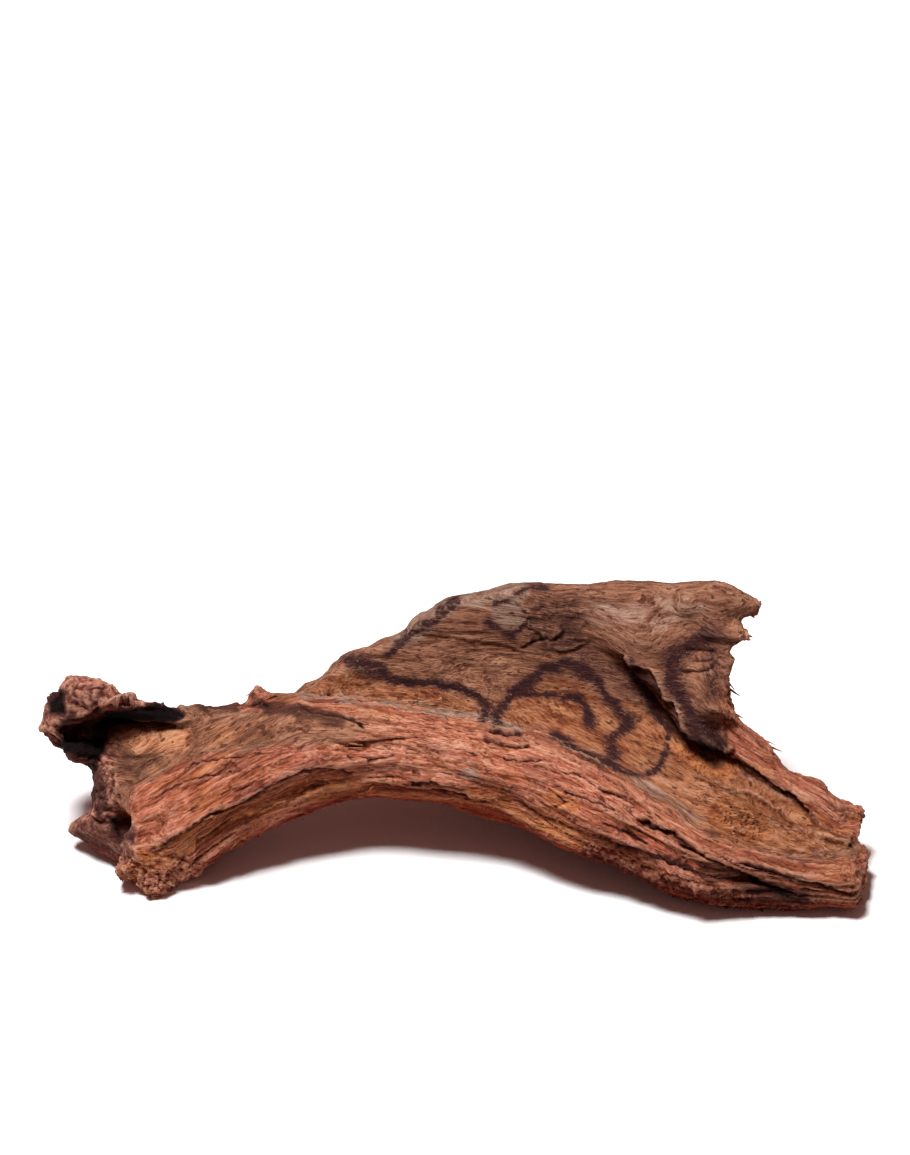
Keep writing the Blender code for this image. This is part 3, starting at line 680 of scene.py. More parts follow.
relief += (2.0 * noise(points / (5, 5, 3.4), 19) + 1.2 * noise(points / (3, 3, 1.2), 20)) * torn
relief += (1.2 * noise(points / (8, 2.4, 2.4), 33) + 0.6 * noise(points / (5, 1.2, 1.2), 34)) * blunt
relief += 0.5 * layered(points / 2.4, 18, 2) * rough_patch
relief += 0.22 * noise(grain / (10, 1.1, 1.1), 35) + 0.16 * noise(grain / (4, 0.8, 0.8), 36)
relief -= 2.6 * brushed(spots, [(55, 697), (57, 708)], 4, 7) * (facing > 0)
print("layers, mm:", round(float(relief.min()), 2), "to", round(float(relief.max()), 2))

# %% [markdown]
# The drawn lines come last, on top of the layers. Noise makes each line wander, so that it looks
# grown, and they stay on the side that the camera sees.

# %% Cutting the relief
crack = np.zeros(len(points))
wander = spots + np.stack([noise(points / 2.5, 21), noise(points / 2.5, 22)], 1) * 1.6
for line, half_width, depth in CRACKS:
    away, share, side = to_line(wander, line)
    cut = np.exp(-(away / half_width) ** 2) * step(0, 0.08, share) * step(1, 0.9, share) * visible
    crack = np.maximum(crack, cut)
    relief -= depth * cut
for line, fade, height in LEDGES:
    relief += height * ledge(wander, line, fade) * visible
for line, half_width, height in SMALL_RIDGES:
    away = to_line(wander, line)[0]
    relief += height * np.exp(-(away / half_width) ** 2) * visible

points = points + normals * relief[:, None]
points[:, 2] = np.maximum(points[:, 2], FLOOR_GAP)
put_points(skin.data, points * MM)
print("relief, mm:", round(float(relief.min()), 2), "to", round(float(relief.max()), 2))

# %% [markdown]
# Hollows get painted shade, and ridges a pale painted highlight with a little dust. Comparing each
# point with the average of its neighbours tells a hollow from a ridge.

# %% Hollows and ridges
normals = read_normals(skin.data)
NEAR_ROUNDS, NEAR_DEPTH = 3, 0.4
BROAD_ROUNDS, BROAD_DEPTH = 25, 2.0
near = ((averaged(points, NEAR_ROUNDS) - points) * normals).sum(1)
broad = ((averaged(points, BROAD_ROUNDS) - points) * normals).sum(1)
hollow = np.clip(near / NEAR_DEPTH + broad / BROAD_DEPTH, -2, 2)
print("hollow, mean:", round(float(hollow.mean()), 3))

# %% [markdown]
# Places that see little of the sky get painted shade. Rays sent from a coarse copy of
# the skin in many directions count how much of the sky is blocked, and each fine point takes the
# answer of the coarse points nearest to it.

# %% Painted shade in sheltered places
SHELTER_RAYS = 40
SHELTER_REACH = 70.0
SHELTER_VOXEL = 2.2 * MM
SHELTER_CLEARANCE = 1.2
NEAREST = 3
coarse = bpy.data.objects.new("coarse_skin", skin.data.copy())
bpy.context.scene.collection.objects.link(coarse)
settle(coarse, ("REMESH", {"mode": "VOXEL", "voxel_size": SHELTER_VOXEL}))
coarse_points = read_points(coarse.data) / MM
coarse_normals = read_normals(coarse.data)
coarse_tree = BVHTree.FromPolygons(
    [Vector(p) for p in coarse_points], [tuple(f.vertices) for f in coarse.data.polygons])
bpy.data.objects.remove(coarse)
turns = np.arange(SHELTER_RAYS) * math.pi * (3 - math.sqrt(5))
lift = 0.05 + 0.95 * (np.arange(SHELTER_RAYS) + 0.5) / SHELTER_RAYS
sky = np.stack([np.sqrt(1 - lift ** 2) * np.cos(turns), np.sqrt(1 - lift ** 2) * np.sin(turns), lift], 1)
open_sky = np.zeros(len(coarse_points))
for ray in sky:
    skyward = Vector(ray)
    faces_it = coarse_normals @ ray
    for index in np.nonzero(faces_it > 0.05)[0]:
        start = Vector(coarse_points[index] + coarse_normals[index] * SHELTER_CLEARANCE)
        if coarse_tree.ray_cast(start, skyward, SHELTER_REACH)[0] is None:
            open_sky[index] += faces_it[index]
open_sky /= np.maximum(SHELTER_RAYS * 0.5, 1)
near_points = KDTree(len(coarse_points))
for index, place in enumerate(coarse_points):
    near_points.insert(place, index)
near_points.balance()
light = np.empty(len(points))
for index, place in enumerate(points):
    found = near_points.find_n(place, NEAREST)
    light[index] = sum(open_sky[i] for _, i, _ in found) / len(found)
light = averaged(light[:, None], 2)[:, 0]
print("open sky, least and most:", round(float(light.min()), 2), round(float(light.max()), 2))

# %% [markdown]
# Water drew dark lines through the sheet as it dried: a broad double arc with a thinner one on
# each side of it. They are strokes in the picture, kept as a soft distance and made ragged by
# the material. Paint drawn in the picture would go right through to the back, so it fades where
# the camera sees nothing, and the back gets stains of its own from noise.

# %% Stains
STAIN_BROAD = [
    [(497, 722), (500, 709), (512, 696), (527, 683), (545, 669), (566, 663), (584, 668), (598, 682),
     (610, 700), (622, 713), (631, 723), (622, 731), (612, 736), (614, 750), (612, 757), (604, 761)],
    [(348, 660), (380, 666), (392, 680)],
    [(628, 664), (641, 685), (650, 700), (660, 717)],
]
STAIN_FINE = [
    [(392, 680), (412, 682), (432, 683), (460, 688), (476, 696), (485, 706), (483, 720)],
    [(388, 656), (398, 642), (414, 630), (436, 620), (456, 602)],
    [(518, 690), (540, 694), (560, 695), (578, 699), (588, 712), (590, 726)],
    [(660, 717), (669, 733), (664, 752), (660, 769), (644, 774), (625, 773), (614, 765)],
    [(552, 736), (570, 746), (590, 756), (604, 761), (614, 765)],
    [(486, 622), (498, 630), (506, 634), (516, 632), (528, 620)],
    [(442, 608), (449, 602), (456, 600)], [(494, 603), (504, 601)],
    [(516, 591), (530, 588), (546, 588)],
]
FLAP_SMEAR = [(710, 633), (700, 641), (679, 652), (671, 662), (673, 685), (690, 715), (712, 742)]
FLAP_TIP = [(676, 712), (690, 722), (716, 728), (731, 751), (720, 756), (692, 741)]
STAIN_PATCHES = [
    (0.95, FLAP_TIP, 7),
    (0.6, [(704, 640), (724, 640), (726, 700), (704, 700)], 10),
    (0.52, [(530, 598), (578, 590), (590, 612), (580, 640), (548, 650), (522, 636)], 10),
    (0.7, [(340, 655), (362, 650), (392, 668), (384, 684), (352, 674)], 6),
    (0.5, [(548, 640), (582, 628), (600, 650), (640, 668), (652, 700), (630, 700), (606, 678),
           (570, 660)], 10),
]
spots = seen_at(points * MM)
wander = spots + np.stack([noise(points / 2.0, 23), noise(points / 2.0, 24)], 1) * 1.3
wander += np.stack([noise(points / 6.0, 25), noise(points / 6.0, 26)], 1) * 2.6
swell = np.maximum(1 + 0.8 * noise(points / 6.0, 27), 0.75)
stain = np.zeros(len(points))
for lines, strength, half_width in ((STAIN_BROAD, 1.05, 11.5), (STAIN_FINE, 1.12, 6.4)):
    for line in lines:
        stain = np.maximum(stain, strength - to_line(wander, line)[0] / (half_width * swell))
stain = np.maximum(stain, 0.95 - to_line(wander, FLAP_SMEAR)[0] / 21)
for strength, outline, soft in STAIN_PATCHES:
    stain = np.maximum(stain, strength * within(wander, outline, soft))
seen_side = averaged(visible[:, None], 10)[:, 0]
under_brow = within(spots, [(84, 698), (200, 698), (200, 765), (84, 765)], 5)
seen_side = np.maximum(seen_side, under_brow * step(-0.6, -0.2, facing))
back_line = np.exp(-(noise(grain / (46, 15, 15), 45) / 0.05) ** 2)
back_line *= step(-0.1, 0.3, noise(points / 22, 47))
stain = np.clip(stain, 0, 1) * seen_side + 0.85 * back_line * (1 - seen_side) * heartwood
print("stained share:", round(float((stain > 0.5).mean()), 3))

# %% [markdown]
# The wood's colour drifts from place to place: grey where it was rubbed in the water, ochre along
# the lower rim, bright in the fresh heartwood and dusty in the trough. One ochre stroke under the
# flap is painted shadow, the deep red along the beam's lower right is partly painted shade, and a
# pale layer on the beam and the foot is partly wear and partly painted light. Each tint is a list of
# marks, and the material later picks a tone by it.

# %% Tints
shaken = spots + shake * 5
grey = painted(shaken, [
    (1, [(400, 640), (430, 618), (455, 600), (490, 592), (520, 590)], 7, 8),
    (1, [(508, 614), (515, 618)], 12, 6),
    (0.5, [(575, 590), (660, 588), (720, 600), (700, 620), (640, 640), (605, 632), (580, 616)], 10),
    (0.8, [(300, 697), (352, 700), (400, 706), (440, 713), (480, 719), (520, 727)], 2, 3),
    (0.8, [(468, 773), (474, 774)], 2, 9),
    (0.6, [(640, 782), (670, 800), (700, 820)], 3, 8),
    (0.5, [(792, 857), (800, 856)], 3, 10),
])
ochre_and_flap_shadow = painted(shaken, [
    (1, [(470, 796), (498, 796)], 6, 8),
    (1, [(551, 803), (570, 803)], 8, 8),
    (1, [(725, 815), (752, 825)], 14, 10),
    # Painted shadow under the flap's tip, in ochre; the other ochre marks are the wood's own colour.
    (0.8, [(672, 742), (700, 758), (725, 766)], 6, 12),
    (0.35, [(530, 712), (570, 728), (590, 740)], 14, 12),
], base=rim)
bright = painted(shaken, [
    (1, [(500, 722), (520, 692), (560, 672), (596, 694), (618, 722), (606, 752), (580, 744),
         (540, 728)], 6),
    (1, [(606, 700), (640, 700), (668, 736), (660, 770), (625, 774), (600, 756)], 6),
    (1, [(300, 697), (345, 670), (392, 686), (432, 689), (470, 698), (480, 712), (478, 718),
         (440, 710), (352, 695)], 5),
    (1, [(640, 770), (690, 740), (730, 765), (795, 805), (850, 842), (800, 856), (720, 840),
         (660, 800)], 8),
    (0.5, [(180, 722), (250, 722), (290, 730), (200, 752), (140, 784)], 8),
])
dusty_band = painted(shaken, [
    (1, [(640, 780), (690, 775), (760, 815), (850, 846), (790, 852), (700, 825)], 8),
    (0.8, [(120, 730), (160, 726), (192, 730), (190, 748), (150, 756), (122, 752)], 6),
    (0.7, [(300, 700), (350, 684), (400, 696), (470, 706), (476, 716), (352, 695)], 5),
])
# A pale layer, partly wear and partly painted light: the beam's middle, where the light falls strongest,
# and the foot, which stands in shade, are lightened.
rubbed = painted(shaken, [
    (0.95, [(300, 706), (400, 716), (480, 726), (560, 752), (640, 800), (600, 800), (520, 770),
            (440, 772), (360, 766), (300, 750)], 14),
    (0.5, [(640, 800), (860, 870), (860, 880), (760, 872), (640, 822)], 6),
    (0.5, [(760, 776), (850, 800), (850, 826), (800, 806)], 8),
    (0.8, [(136, 862), (190, 858), (190, 880), (150, 892), (130, 880)], 5),
])
# The fringe's own deep red, with painted shade along the beam's lower right.
deep_red_and_shade = painted(shaken, [(0.5, [(600, 834), (650, 846), (720, 870), (790, 892)], 8, 10)], base=fringe)
print("tints, mean:", [round(float(tint.mean()), 3) for tint in (grey, ochre_and_flap_shadow, bright, dusty_band)])

# %% [markdown]
# Painted shade is nearly black in the pocket under the brow and lighter in the painted shadow of
# the flap, under the knob, the twig and the crest, along the neck and the leg, on the spur and in the
# grooves near the beam's foot. A dark rough patch on the sheet is the wood's own colour, and the
# back gets real dirt from noise.

# %% Painted shade and dirt
# Painted shade in the slot and pocket under the brow, and in the hollow on the knob's left face.
dark = painted(spots, [
    (1, SLOT_OUTLINE, 3),
    (1, [(146, 702), (156, 700), (170, 703), (188, 714), (176, 722), (144, 718)], 3),
    (0.75, [(46, 690), (64, 690), (66, 714), (49, 714)], 4),
])
# Painted shade under the knob, the twig, the shoulder and the crest, beside the leg and the spur, in the
# neck's hollows and the beam's lower grooves, and painted shadow beside and under the flap; the two marks
# on the sheet's rough patch are its own dark colour.
dark = painted(shaken, [
    (0.8, [(58, 716), (84, 716), (112, 708), (120, 722), (112, 738), (98, 756), (58, 757)], 4),
    (0.6, [(248, 690), (256, 700), (262, 708)], 3, 4),
    (0.4, [(600, 862), (660, 882), (720, 896), (800, 900)], 5, 8),
    (0.5, [(700, 868), (760, 886), (820, 898)], 4, 6),
    (0.55, [(128, 758), (140, 770)], 7, 8),
    (0.45, [(152, 752), (164, 762)], 4, 8),
    (0.7, [(94, 765), (100, 780), (98, 806)], 5, 6),
    (0.7, [(106, 818), (120, 813), (135, 822), (134, 845), (116, 840)], 3),
    (0.58, [(68, 830), (100, 812), (124, 840), (130, 860), (84, 846)], 6),
    (0.8, [(50, 738), (66, 742), (100, 738), (106, 752), (96, 762), (50, 764)], 5),
    (0.4, [(44, 684), (80, 690), (112, 690), (110, 704), (80, 716), (44, 720)], 6),
    (0.4, [(606, 636), (640, 638), (688, 638), (700, 652), (650, 662), (616, 652)], 6),
    (0.12, [(610, 832), (660, 848), (720, 872), (780, 892)], 8, 8),
    (0.75, [(636, 672), (652, 692), (666, 716), (690, 744), (716, 760)], 4, 8),
    (0.5, [(690, 724), (728, 748), (724, 756), (700, 750)], 5),
    (0.2, [(522, 600), (580, 590), (585, 650), (524, 650)], 8),
    (0.3, [(545, 648), (575, 640), (566, 622)], 3, 9),
    (0.7, [(200, 704), (236, 706)], 4, 7),
    (0.7, [(268, 708), (290, 710), (340, 718)], 4, 7),
], base=dark)
back_dirt = 0.55 * step(0.2, 0.7, layered(points / 13.0, 46, 2)) * (1 - seen_side)
dark = dark * seen_side + back_dirt
# Painted light on the foot, which lessens the painted shade of sheltered places there.
foot_painted_light = 0.3 * within(shaken, [(126, 850), (200, 846), (200, 880), (170, 905), (120, 905)], 8)
print("dirty share:", round(float((dark > 0.5).mean()), 3))

# %% [markdown]
# Three more values say where loose bits belong: frayed fibres on torn edges, slivers on red wood
# away from the ends, crumbs on the soft spots. Everything is then kept on the skin by name. The
# material reads the values on the skin and, carried over by the scattering, on the loose bits.

# %% Values kept on the skin
way_out = np.where(points[:, 0] > -80, 1.0, -1.0) * np.where(noise(points / 3.0, 41) > -0.4, 1, -1)
frayed = np.clip(
    torn * 1.2
    + 0.15 * blunt
    + 0.3 * brushed(spots, [(84, 714), (98, 706), (118, 702), (140, 698), (170, 704)], 2, 3)
    + 0.7 * within(spots, [(120, 866), (205, 862), (196, 905), (120, 905)], 4) * sharp_edge
    + 0.5 * fringe * (facing < 0.6), 0, 1) * (1 - knobby)
slivered = red * step(0.1, 0.6, noise(grain / (14, 5, 5), 42)) * (1 - 0.6 * fine_left)
slivered = slivered * step(-112, -104, points[:, 0]) * step(132, 124, points[:, 0])
slivered = slivered * step(0.6, 0.2, sharp_edge)
# The dark value also takes painted shade along the drawn cracks.
KEPT = {
    "grain": grain, "red": red, "stain": stain, "hollow": hollow, "light": light + foot_painted_light,
    "tints": np.stack([grey, ochre_and_flap_shadow, bright], 1), "dark": np.maximum(dark, 0.9 * crack),
    "rubbed": rubbed * red, "lie": fibre_way * way_out[:, None], "frayed": frayed,
    "slivered": slivered, "crumbled": np.clip(crumb + 0.4 * fringe, 0, 1),
    "places": np.stack([knobby, deep_red_and_shade * red, dusty_band], 1),
}
for name, values in KEPT.items():
    store(skin.data, name, values)
print("values kept:", ", ".join(KEPT))

# %% [markdown]
# The skin is made of far more triangles than its relief needs. Decimate merges the edges that
# change the form least, so flat places thin out first, and it carries the kept values along.

# %% Thinned skin
MOST_TRIANGLES = 190000
triangles = len(skin.data.polygons) * 2
settle(skin, ("DECIMATE", {"ratio": MOST_TRIANGLES / triangles}))
print("skin triangles:", sum(len(p.vertices) - 2 for p in skin.data.polygons))

# %% [markdown]
# One material covers the skin and the loose bits. It is built from small helpers, so that each
# line below reads as a step of painting and not as a heap of sockets.

# %% Material helpers
wood = bpy.data.materials.new("weathered_red_wood")
wood.use_nodes = True
tree = wood.node_tree
tree.nodes.clear()


def feed(socket, value):
    """Joins a socket to another one, or sets its plain value."""
    if isinstance(value, bpy.types.NodeSocket):
        tree.links.new(value, socket)
    else:
        socket.default_value = value


def put(kind, settings=None, **inputs):
    """Adds a node, sets it up and joins its inputs, which are named with _ for a space."""
    node = tree.nodes.new(kind)
    for name, value in (settings or {}).items():
        setattr(node, name, value)
    for name, value in inputs.items():
        feed(node.inputs[name.replace("_", " ")], value)
    return node


def attribute(name, output="Fac"):
    """A value kept on the skin."""
    return put("ShaderNodeAttribute", {"attribute_name": name}).outputs[output]


def arithmetic(operation, first, second=0.5, third=0.5):
    """One sum on two or three numbers."""
    node = tree.nodes.new("ShaderNodeMath")
    node.operation = operation
    for socket, value in zip(node.inputs, (first, second, third)):
        feed(socket, value)
    return node.outputs[0]


print("material:", wood.name)

# %% [markdown]
# Four more helpers deal with colour: one eases a value into a share, one mixes two colours by a
# share, one turns a value into a tone, and one makes the stretched noise that looks like fibre.

# %% Colour helpers
def eased(value, low, high):
    """0 at low and 1 at high, eased between."""
    return put("ShaderNodeMapRange", {"interpolation_type": "SMOOTHSTEP"}, Value=value,
               From_Min=low, From_Max=high).outputs[0]


def mixed(share, first, second, mode="MIX"):
    """Two colours mixed."""
    node = tree.nodes.new("ShaderNodeMix")
    node.data_type = "RGBA"
    node.blend_type = mode
    for socket, value in ((node.inputs[0], share), (node.inputs[6], first), (node.inputs[7], second)):
        feed(socket, value)
    return node.outputs[2]


def ramp(value, *stops):
    """A colour ramp from (place, (red, green, blue)) stops."""
    node = put("ShaderNodeValToRGB", Fac=value)
    colours = node.color_ramp.elements
    while len(colours) < len(stops):
        colours.new(0.5)
    for element, (place, colour) in zip(colours, stops):
        element.position = place
        element.color = (*colour, 1)
    return node.outputs[0]


def grain_noise(stretch, scale, detail=4, rough=0.6):
    """Noise in the straightened grain, in millimetres, stretched by its three sizes."""
    scaled = put("ShaderNodeVectorMath", {"operation": "MULTIPLY"})
    tree.links.new(grain_place, scaled.inputs[0])
    scaled.inputs[1].default_value = stretch
    return put("ShaderNodeTexNoise", Vector=scaled.outputs[0], Scale=scale, Detail=detail,
               Roughness=rough).outputs[0]


grain_place = attribute("grain", "Vector")
print("grain is read from:", grain_place.node.attribute_name)

# %% [markdown]
# Wood fibre, broader streaks, pores, pits and pale specks, partly dust and partly painted glints, are
# all noise, each stretched along the grain by its own amount. On the knob the fibre has no direction,
# so plain lumpy noise takes over there.

# %% Noise in the wood
places = put("ShaderNodeSeparateXYZ", Vector=attribute("places", "Vector")).outputs
tints = put("ShaderNodeSeparateXYZ", Vector=attribute("tints", "Vector")).outputs
knob_share, deep_red_and_shade_share, dusty_share = places[0], places[1], places[2]
grey_share, ochre_and_flap_shadow_share, bright_share = tints[0], tints[1], tints[2]
red_share = attribute("red")
hollow_place = attribute("hollow")
dirt_and_painted_shade = attribute("dark")
here = put("ShaderNodeTexCoord").outputs["Object"]
lumpy = put("ShaderNodeTexNoise", Vector=here, Scale=650.0, Detail=6.0, Roughness=0.7).outputs[0]
straight = grain_noise((0.09, 1, 1), 1.8, 5, 0.75)
fibre = arithmetic("ADD", arithmetic("MULTIPLY", straight, arithmetic("SUBTRACT", 1.0, knob_share)),
                   arithmetic("MULTIPLY", lumpy, knob_share))
streak = grain_noise((0.05, 0.5, 0.5), 0.9, 4, 0.6)
patch = grain_noise((0.06, 0.12, 0.12), 1.0, 3, 0.5)
pore = grain_noise((0.3, 1, 1), 1.3, 1, 0.5)
pit = grain_noise((0.42, 1, 1), 0.85, 0, 0.5)
# Pale specks, partly dust and partly painted glints.
dust_and_glint = grain_noise((0.6, 1, 1), 1.5, 1, 0.5)
fleck = grain_noise((0.22, 1, 1), 2.0, 3, 0.6)
blotch = grain_noise((0.05, 0.16, 0.16), 1.0, 4, 0.6)
tone = arithmetic("ADD", arithmetic("MULTIPLY", fibre, 0.5), arithmetic("MULTIPLY", streak, 0.5))
tone = eased(tone, 0.385, 0.625)
print("nodes so far:", len(tree.nodes))

# %% [markdown]
# Every colour is a ramp between the dark, middle and light tones of one kind of wood, so that
# grain shows in all of them. The tones were chosen under the scene's own light.

# %% Tones of the wood
tan = ramp(tone, (0.0, (0.13, 0.046, 0.026)), (0.45, (0.33, 0.138, 0.078)), (1.0, (0.50, 0.252, 0.150)))
amber = ramp(tone, (0.0, (0.17, 0.042, 0.016)), (0.45, (0.36, 0.122, 0.052)), (1.0, (0.54, 0.25, 0.125)))
dusty = ramp(tone, (0.0, (0.26, 0.080, 0.036)), (0.45, (0.54, 0.212, 0.100)), (1.0, (0.72, 0.38, 0.22)))
salmon = ramp(tone, (0.0, (0.15, 0.030, 0.015)), (0.35, (0.39, 0.108, 0.054)), (0.7, (0.54, 0.182, 0.102)),
              (1.0, (0.70, 0.33, 0.21)))
honey = ramp(tone, (0.0, (0.15, 0.028, 0.007)), (0.5, (0.42, 0.118, 0.030)), (1.0, (0.62, 0.25, 0.08)))
rose = ramp(tone, (0.0, (0.20, 0.05, 0.035)), (0.5, (0.44, 0.15, 0.105)), (1.0, (0.66, 0.33, 0.24)))
pale = ramp(tone, (0.0, (0.34, 0.095, 0.055)), (0.5, (0.68, 0.26, 0.15)), (1.0, (0.90, 0.50, 0.34)))
plum = ramp(tone, (0.0, (0.075, 0.020, 0.018)), (0.45, (0.25, 0.080, 0.060)), (1.0, (0.54, 0.25, 0.18)))
maroon = ramp(tone, (0.0, (0.10, 0.014, 0.008)), (0.5, (0.30, 0.060, 0.034)), (1.0, (0.52, 0.16, 0.09)))
ashen = ramp(tone, (0.0, (0.22, 0.12, 0.085)), (0.5, (0.36, 0.22, 0.16)), (1.0, (0.50, 0.36, 0.28)))
WEATHERED_BROWN = (0.20, 0.09, 0.05, 1)
STAIN_EDGE = (0.105, 0.040, 0.036, 1)
STAIN_CORE = (0.038, 0.013, 0.015, 1)
# Pale dust with a painted highlight for ridges, and painted shade for hollows.
RIDGE_DUST_AND_HIGHLIGHT = (0.72, 0.42, 0.28, 1)
HOLLOW_PAINTED_SHADE = (0.085, 0.020, 0.010, 1)
# Near black for painted shade, and for real dirt on the back and the sheet's rough patch.
SHADE_AND_DIRT_BLACK = (0.030, 0.008, 0.008, 1)
PORE_BROWN = (0.09, 0.028, 0.016, 1)
PIT_BROWN = (0.10, 0.028, 0.014, 1)
# Pale specks of dust and painted glints.
PALE_DUST_AND_GLINT = (0.72, 0.46, 0.34, 1)
# Painted shade for places that see little of the sky.
SHELTER_PAINTED_SHADE = (0.44, 0.15, 0.09, 1)
# Black for the painted shade in the pocket under the brow.
POCKET_PAINTED_SHADE = (0.003, 0.001, 0.001, 1)
print("ramps:", sum(node.bl_idname == "ShaderNodeValToRGB" for node in tree.nodes))

# %% [markdown]
# The colour is built up as a painter would glaze it, one layer over the last: first the kinds of
# wood, then streaks and a pale layer that is partly wear and partly painted light, then stains, then
# a painted highlight on ridges and painted shade in hollows, painted shade mixed with some dirt,
# pores, and pale specks that are partly dust and partly painted glints. A layer has a share, how
# strong it can get, and its tone. Last, sheltered places get painted shade and the pocket under
# the brow is painted black as shade.

# %% Laying the colours
unrest = arithmetic("MULTIPLY", arithmetic("SUBTRACT", streak, 0.5), 0.9)


def share_of(value, low=0.35, high=0.65):
    """A drawn tint with its edge made ragged by the grain."""
    return eased(arithmetic("ADD", value, unrest), low, high)


warm = arithmetic("MULTIPLY", red_share, eased(blotch, 0.50, 0.66))
rosy = arithmetic("MULTIPLY", red_share, eased(blotch, 0.48, 0.34))
# Pale layer, partly wear and partly painted light.
worn_and_lit = arithmetic("MULTIPLY", attribute("rubbed"), eased(fleck, 0.40, 0.62))
ragged = arithmetic("ADD", arithmetic("SUBTRACT", fibre, 0.5), arithmetic("SUBTRACT", fleck, 0.5))
ragged_stain = arithmetic("ADD", attribute("stain"), arithmetic("MULTIPLY", ragged, 1.3))
pitted = arithmetic("MULTIPLY", eased(pit, 0.69, 0.75), arithmetic("SUBTRACT", 1.0, red_share))
colour = mixed(share_of(bright_share), tan, amber)
for share, strength, over in (
        (share_of(dusty_share), 1.0, dusty),
        (share_of(red_share), 1.0, salmon),
        (warm, 0.55, honey),
        (worn_and_lit, 1.0, pale),
        (rosy, 0.5, rose),
        (share_of(knob_share), 0.85, plum),
        (share_of(deep_red_and_shade_share), 1.0, maroon),
        (share_of(ochre_and_flap_shadow_share), 0.65, honey),
        (share_of(grey_share), 0.8, ashen),
        (eased(patch, 0.45, 0.75), 0.35, WEATHERED_BROWN),
        (eased(ragged_stain, 0.0, 0.8), 0.65, STAIN_EDGE),
        (eased(ragged_stain, 0.42, 0.80), 0.97, STAIN_CORE),
        # A painted highlight with dust on ridges, and painted shade in hollows.
        (eased(hollow_place, -0.15, -1.2), 0.35, RIDGE_DUST_AND_HIGHLIGHT),
        (eased(hollow_place, 0.15, 1.3), 0.8, HOLLOW_PAINTED_SHADE),
        # Mostly painted shade, with some real dirt.
        (eased(dirt_and_painted_shade, 0.1, 0.9), 0.92, SHADE_AND_DIRT_BLACK),
        (eased(pore, 0.62, 0.70), 0.65, PORE_BROWN),
        (pitted, 0.8, PIT_BROWN),
        (eased(dust_and_glint, 0.70, 0.78), 0.3, PALE_DUST_AND_GLINT)):
    colour = mixed(arithmetic("MULTIPLY", share, strength), colour, over)
# Painted shade where little of the sky is open.
colour = mixed(eased(attribute("light"), 0.66, 0.12), colour, SHELTER_PAINTED_SHADE, "MULTIPLY")
# The pocket under the brow is painted black as shade.
colour = mixed(arithmetic("MULTIPLY", eased(dirt_and_painted_shade, 0.90, 1.0), 0.95), colour, POCKET_PAINTED_SHADE)
print("nodes in the material:", len(tree.nodes))

# %% [markdown]
# Old dry wood is dull, so the surface is rough and hardly shines. Fibres, pores and pits finer
# than a triangle are left to bump.

# %% Finish of the wood
BUMP_DEPTH = 0.0016
DRY_ROUGHNESS = 0.82
DRY_SHINE = 0.1
height = arithmetic("ADD", arithmetic("MULTIPLY", fibre, 1.0), arithmetic("MULTIPLY", pore, -0.35))
height = arithmetic("ADD", height, arithmetic("MULTIPLY", pitted, -0.3))
bump = put("ShaderNodeBump", Height=height, Strength=1.0, Distance=BUMP_DEPTH)
finish = put("ShaderNodeBsdfPrincipled", Base_Color=colour, Roughness=DRY_ROUGHNESS,
             Normal=bump.outputs[0])
finish.inputs["Specular IOR Level"].default_value = DRY_SHINE
put("ShaderNodeOutputMaterial", Surface=finish.outputs[0])
skin.data.materials.clear()
skin.data.materials.append(wood)
for polygon in skin.data.polygons:
    polygon.use_smooth = True
print("finish:", wood.name, "roughness", DRY_ROUGHNESS)
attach(skin, "root")
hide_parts("driftwood")

# %% [markdown]
# Old ends fray: fibres stand out of the torn edges, slivers lie loose along the red wood, and the
# soft places crumble. Each is one small closed shape, repeated hundreds of times, so it has only a
# few dozen faces: rings of five corners, with a cap at each end.

# %% Sliver and crumb shapes
def closed_shape(name, rings):
    """A closed shape from rings of (height, half width, half thickness, shift)."""
    corners = []
    for height_along, half_width, half_thick, shift in rings:
        for across, deep in ((-1, -0.6), (0.2, -1), (1, -0.3), (0.5, 0.8), (-0.7, 1)):
            corners.append((across * half_width + shift, deep * half_thick, height_along))
    faces = [tuple(range(4, -1, -1)), tuple(range(len(corners) - 5, len(corners)))]
    for ring in range(len(rings) - 1):
        for corner in range(5):
            a, b = ring * 5 + corner, ring * 5 + (corner + 1) % 5
            faces.append((a, b, b + 5, a + 5))
    shape = bpy.data.meshes.new(name)
    shape.from_pydata(corners, [], faces)
    holder = bpy.data.objects.new(name, shape)
    bpy.context.scene.collection.objects.link(holder)
    print(name, "faces:", len(shape.polygons))
    return holder


sliver = closed_shape("sliver", [(-0.25, 0.8, 0.5, 0.0), (0.2, 1.0, 0.6, 0.15), (0.6, 0.65, 0.35, 0.1),
                                 (0.9, 0.35, 0.2, 0.3)])
lump = closed_shape("lump", [(-0.7, 0.5, 0.4, 0.1), (-0.2, 1.0, 0.8, 0.0), (0.3, 0.8, 1.0, 0.2),
                             (0.7, 0.3, 0.4, 0.1)])

# %% [markdown]
# Geometry Nodes suit a shape that is repeated. The tree scatters points where a kept value asks
# for them, turns a copy of the shape along the fibre at each, leans it out of the wood and carries
# the skin's own tints over to it. Its sizes and its seed are named inputs.

